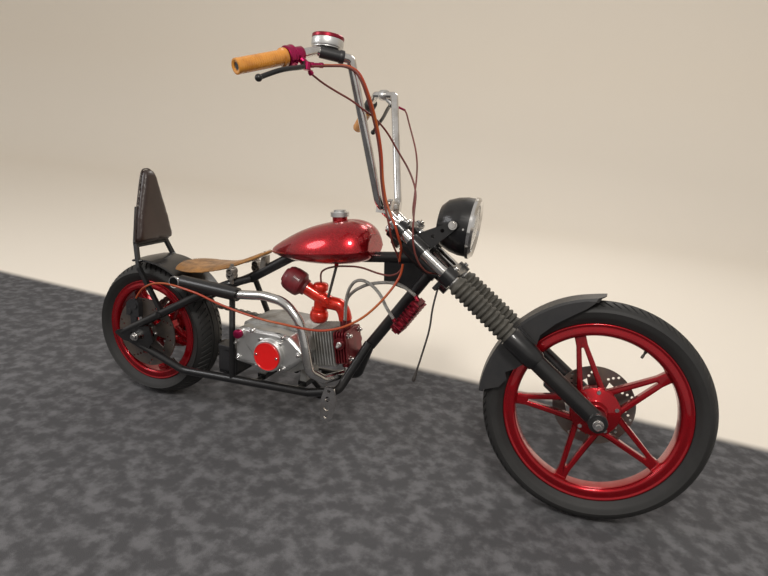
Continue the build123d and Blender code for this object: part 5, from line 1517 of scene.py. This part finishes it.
class CHOPPER_OT_instrument(bpy.types.Operator):
    """The round instrument with its dial and bracket"""

    bl_idname = "chopper.instrument"
    bl_label = "Instrument"

    def execute(self, context):
        profile = [(0, 0), (33, 0), (35, 1.2), (35, 3), (37.2, 4)]
        profile += [(38, 6), (38, 19), (37.2, 21.5), (0, 21.5)]
        body = turned(profile, 64, GAUGE, UP)
        piece("instrument_body", body, "alloy", "steering", replaces=("bar_gauge",))
        profile = [(33, 21.6), (37.4, 21.6), (38, 22.4), (38, 28.8)]
        profile += [(36.6, 30.5), (34.4, 30.5), (33, 29.0), (33, 21.6)]
        piece("instrument_rim", turned(profile, 64, GAUGE, UP), "red_anodised", "steering")
        face = turned([(0, 26.5), (33, 26.5), (33, 22), (0, 22)], 64, GAUGE, UP)
        piece("instrument_face", face, "black_plastic", "steering", "dial")
        piece("instrument_marks", dial_marks(), "black_plastic", "steering", "dial_marks")
        piece("instrument_bracket_and_bar_shade", instrument_bracket_and_bar_shade(), "black_plastic", "steering")
        return {"FINISHED"}


# The headlight's face and the way back into it, and its bolts' and screws' places in millimetres
LAMP_FACE = top(185, 0, 20)
LAMP_LINE = Vector((-148, 0, 8)).normalized()
LAMP_BOLT_DEPTH = 44
LAMP_BOLT_Y = 91.8
LAMP_SCREW_DEPTH = 19
LAMP_SCREW_Y = 76.8


class CHOPPER_OT_lamp(bpy.types.Operator):
    """The headlight's glass, reflector, bulb, bolts and screws"""

    bl_idname = "chopper.lamp"
    bl_label = "Headlight"

    def execute(self, context):
        outside = [(0, -6), (20, -5.2), (40, -3), (56, -0.4), (65.8, 1.6)]
        inside = [(65.8, 4), (56, 2), (40, -0.6), (20, -2.8), (0, -3.6)]
        glass = turned(outside + inside, 64, LAMP_FACE, LAMP_LINE)
        piece("headlight_glass", glass, "lens_glass", "steering", replaces=("headlight_lens",))
        profile = [(0, 7.6), (14, 7.2), (30, 6.6), (48, 5.4), (65.5, 4.2), (65.5, 7.8), (0, 7.8)]
        piece("headlight_reflector", turned(profile, 64, LAMP_FACE, LAMP_LINE), "chrome", "steering")
        bulb = turned([(0, -1.5), (7, -0.5), (9, 2), (9, 6), (0, 7)], 24, LAMP_FACE, LAMP_LINE)
        piece("headlight_bulb", bulb, "lens_glass", "steering", "dial")
        middle = LAMP_FACE + LAMP_LINE * LAMP_BOLT_DEPTH * MM
        bolts = mirrored_places(lambda side: aim(middle + LEFT * side * LAMP_BOLT_Y * MM, LEFT * side))
        piece("headlight_bolts", scatter(hex_bolt(15, 6.5, 1.5), bolts), "chrome", "steering")
        middle = LAMP_FACE + LAMP_LINE * LAMP_SCREW_DEPTH * MM
        screws = mirrored_places(lambda side: aim(middle + mm(0, side * LAMP_SCREW_Y, -6), LEFT * side))
        screw = lathe([(0, 2.4), (2.4, 2.0), (3.4, 0.8), (3.4, -1), (0, -1)], 16)
        piece("headlight_screws", scatter(screw, screws), "chrome", "steering")
        return {"FINISHED"}


# Faces on the right of the engine, as distances to the left of the machine's middle
COVER_FACE = -128.9
COVER_RING = -125.9
DISC_FACE = -144.1
# columns: x and z of a cover screw from the crank
COVER_SCREWS = ((-104, -30), (-60, 60), (40, 60), (92, 18), (46, -32), (-40, -40), (-112, 14))
FILLER = (-96, 48)
# The carburettor's middle and the silencer's tail, from the crank
CARB = (92, -14)
TAIL = engine(-318, -114, 157)


def cover_fittings():
    """What is screwed to the clutch cover."""
    screws = [aim(engine(x, COVER_FACE, z), RIGHT) for x, z in COVER_SCREWS]
    for angle in (50, 130, 230, 310):
        a = math.radians(angle)
        screws.append(aim(engine(52 * math.cos(a), COVER_RING, 52 * math.sin(a)), RIGHT))
    piece("clutch_cover_screws", scatter(hex_bolt(8.4, 4.5, 1.2), screws), "chrome", "frame")
    profile = [(0, 0), (38, 0), (39, 1.0), (39.8, 1.0), (40.6, 0.2), (40.6, -3), (0, -3)]
    disc = turned(profile, 72, engine(0, DISC_FACE, 0), RIGHT)
    piece("clutch_disc_face", disc, "red_plastic", "frame", replaces=("clutch_cover_disc",))
    pins = mirrored_places(lambda side: aim(engine(side * 33, DISC_FACE - 0.1, 2), RIGHT))
    piece("clutch_disc_screws", scatter(socket_bolt(3.6, 3.4), pins), "chrome", "frame")
    profile = [(0, 15), (9, 14.6), (12.8, 13.2), (13.4, 11), (13.4, 2), (12.8, 0), (0, 0)]
    cap = turned(profile, 30, engine(FILLER[0], COVER_FACE - 7, FILLER[1]), RIGHT)
    piece("oil_filler_cap", cap, "red_anodised", "frame", "magenta_anodised")


def head_fittings():
    """The nuts and the spark plug of the cylinder head."""
    nuts = [aim(bore(208.0, y, n), BORE_LINE) for y in (-36, 36) for n in (-34, 34)]
    piece("head_nuts", scatter(hex_bolt(11, 9, 1.4, 3.6), nuts), "chrome", "frame")
    profile = [(0, 0), (7, 0), (7, 6), (5, 7), (5, 24), (3, 26), (3, 33), (0, 34)]
    plug = turned(profile, 20, bore(190, -59.9, 16), Vector((0.25, -1, 0.1)))
    piece("spark_plug", plug, "alloy", "frame")


def filler_collar():
    """The collar under the oil filler's cap."""
    profile = [(9.2, 0), (13, 0), (13.6, 1), (13.6, 5), (13, 6), (9.2, 6)]
    collar = turned(profile, 24, engine(FILLER[0], COVER_RING - 0.2, FILLER[1]), RIGHT)
    piece("cover_collar", collar, "alloy", "frame")


def carburettor_fittings():
    """The inlet elbow, and the carburettor's float bowl and cap."""
    run = [engine(104, -11, 150), engine(126, -9, 152), bore(188, -3, 112), bore(188, 0, 73)]
    bowl = [(0, -2), (22, -2), (26, 2), (27.5, 12), (26, 24), (20, 32), (0, 34)]
    cap = [(0, 0), (21, 0), (22, 1), (22, 14), (19, 19), (8, 22), (0, 22)]
    fittings = joined(
        tube(run, 19.5, sides=8),
        turned(bowl, 40, engine(*CARB, 121), -UP),
        turned(cap, 40, engine(*CARB, 186), UP),
    )
    piece("carburettor_bowl_and_elbow", fittings, "red_anodised", "frame", "carb_red", smooth_angle=50)


def silencer_fittings():
    """The silencer's turned-out tail pipe, with a near-black disc on its closed end that paints the shade
    of a hollow.
    """
    run = [TAIL + mm(8, 0, 0), TAIL + mm(-6, 0, 0), TAIL + mm(-12, -6, 0), TAIL + mm(-12, -19, 0)]
    piece("silencer_outlet", tube(run, 15.5, sides=8), "black_paint", "frame")
    profile = [(0, 0), (14.2, 0), (14.6, 1.6), (17.4, 2.2), (18.2, 0.8), (18.2, -4), (15.2, -5), (0, -5)]
    piece("silencer_lip", turned(profile, 40, TAIL + mm(-12, -20, 0), RIGHT), "chrome", "frame")
    # This disc lies on the lip's closed face and paints the shade of the pipe's hollow
    mouth = turned([(0, 0), (13.8, 0), (13.8, -1), (0, -1)], 32, TAIL + mm(-12, -21.2, 0), RIGHT)
    piece("silencer_mouth_painted_shade", mouth, "black_rubber", "frame", "soot_and_hollow_shade")


class CHOPPER_OT_engine(bpy.types.Operator):
    """Screws, nuts, caps, inlet, outlet and the spark plug on the engine"""

    bl_idname = "chopper.engine"
    bl_label = "Engine fittings"

    def execute(self, context):
        cover_fittings()
        head_fittings()
        filler_collar()
        carburettor_fittings()
        silencer_fittings()
        sump = [aim(engine(x, y, -63.5), -UP) for x, y in ((-40, -30), (20, 20))]
        piece("sump_plugs", scatter(hex_bolt(14, 6, 1.4), sump), "steel", "frame")
        return {"FINISHED"}


# In millimetres up the fork from the front axle
YOKE_BOLTS = (670, 498)
SHROUD_FOOT = 198
CAP_FOOT = 693.9
NUT_FOOT = 705.9
# How far forward of the fork's line the yokes' bolts stand
YOKE_FRONT = 25.4
# Middle of the left riser's top, from the top of the fork
RISER_TOP = (-51, 43, 62.9)


class CHOPPER_OT_fork(bpy.types.Operator):
    """Clamp bolts, shrouds, caps, the stem's nut and the risers' bolts on the fork"""

    bl_idname = "chopper.fork"
    bl_label = "Fork fittings"

    def execute(self, context):
        bolts = [aim(fork(t, side * LEG_Y, YOKE_FRONT), FORK_FORWARD) for side in SIDES for t in YOKE_BOLTS]
        piece("yoke_pinch_bolts", scatter(hex_bolt(12, 6), bolts), "chrome", "steering")
        profile = [(22.1, 0), (25, 1), (27, 6), (28.6, 26)]
        profile += [(28.6, 88), (27.4, 91.2), (22.1, 91.2), (22.1, 0)]
        shrouds = mirrored_places(lambda side: aim(fork(SHROUD_FOOT, side * LEG_Y), STEM_UP))
        piece("fork_shrouds", scatter(lathe(profile, 48), shrouds), "black_paint", "steering")
        caps = mirrored_places(lambda side: aim(fork(CAP_FOOT, side * LEG_Y), STEM_UP))
        piece("fork_caps", scatter(hex_bolt(19, 7, 1.2), caps), "chrome", "steering")
        nut = [aim(fork(NUT_FOOT, 0, -FORK_OFFSET), STEM_UP)]
        piece("stem_nut", scatter(hex_bolt(26, 9, 1.35, 8), nut), "chrome", "steering")
        x, y, z = RISER_TOP
        risers = [aim(top(x + dx, side * y, z), UP) for side in SIDES for dx in (-14, 14)]
        piece("riser_bolts", scatter(socket_bolt(4.6, 5.0), risers), "chrome", "steering")
        return {"FINISHED"}


# The rear sprocket's teeth, their foot's radius in millimetres and its distance left in metres
SPROCKET_TEETH = 42
TOOTH_R = 79.2
SPROCKET_Y = 0.074


class CHOPPER_OT_chain(bpy.types.Operator):
    """Teeth on the rear sprocket"""

    bl_idname = "chopper.chain"
    bl_label = "Sprocket teeth"

    def execute(self, context):
        tooth = bmesh.new()
        lifted = Matrix.Translation((0, 0, 0.0012))
        bmesh.ops.create_cone(
            tooth, cap_ends=True, segments=4, radius1=0.0052, radius2=0.0022, depth=0.0030, matrix=lifted
        )
        narrow = Matrix.Diagonal((0.55, 1, 0.25, 1))
        places = []
        for k in range(SPROCKET_TEETH):
            angle = k / SPROCKET_TEETH * math.tau
            way = Vector((math.cos(angle), 0, math.sin(angle)))
            foot = REAR_AXLE + way * TOOTH_R * MM + LEFT * SPROCKET_Y
            places.append(aim(foot, way, math.pi / 4) @ narrow)
        piece("sprocket_teeth", scatter(tooth, places), "steel", "rear_wheel")
        return {"FINISHED"}


OPERATORS = (
    CHOPPER_OT_finishes,
    CHOPPER_OT_stage,
    CHOPPER_OT_castings,
    CHOPPER_OT_cables,
    CHOPPER_OT_tyres,
    CHOPPER_OT_wheels,
    CHOPPER_OT_saddle,
    CHOPPER_OT_backrest,
    CHOPPER_OT_grips,
    CHOPPER_OT_levers,
    CHOPPER_OT_instrument,
    CHOPPER_OT_lamp,
    CHOPPER_OT_engine,
    CHOPPER_OT_fork,
    CHOPPER_OT_chain,
)


class CHOPPER_PT_panel(bpy.types.Panel):
    """The chopper's sizes and the steps that dress it"""

    bl_idname = "CHOPPER_PT_panel"
    bl_label = "Chopper"
    bl_space_type = "VIEW_3D"
    bl_region_type = "UI"
    bl_category = "Chopper"

    def draw(self, context):
        for name in ChopperSettings.__annotations__:
            self.layout.prop(context.scene.chopper, name)
        for operator in OPERATORS:
            self.layout.operator(operator.bl_idname)


CLASSES = (ChopperSettings, *OPERATORS, CHOPPER_PT_panel)


def register():
    for entry in CLASSES:
        bpy.utils.register_class(entry)
    bpy.types.Scene.chopper = bpy.props.PointerProperty(type=ChopperSettings)


def unregister():
    del bpy.types.Scene.chopper
    for entry in reversed(CLASSES):
        bpy.utils.unregister_class(entry)


def main():
    register()
    for operator in OPERATORS:
        group, name = operator.bl_idname.split(".")
        getattr(getattr(bpy.ops, group), name)()
    bpy.context.view_layer.update()


if __name__ == "__main__":
    main()
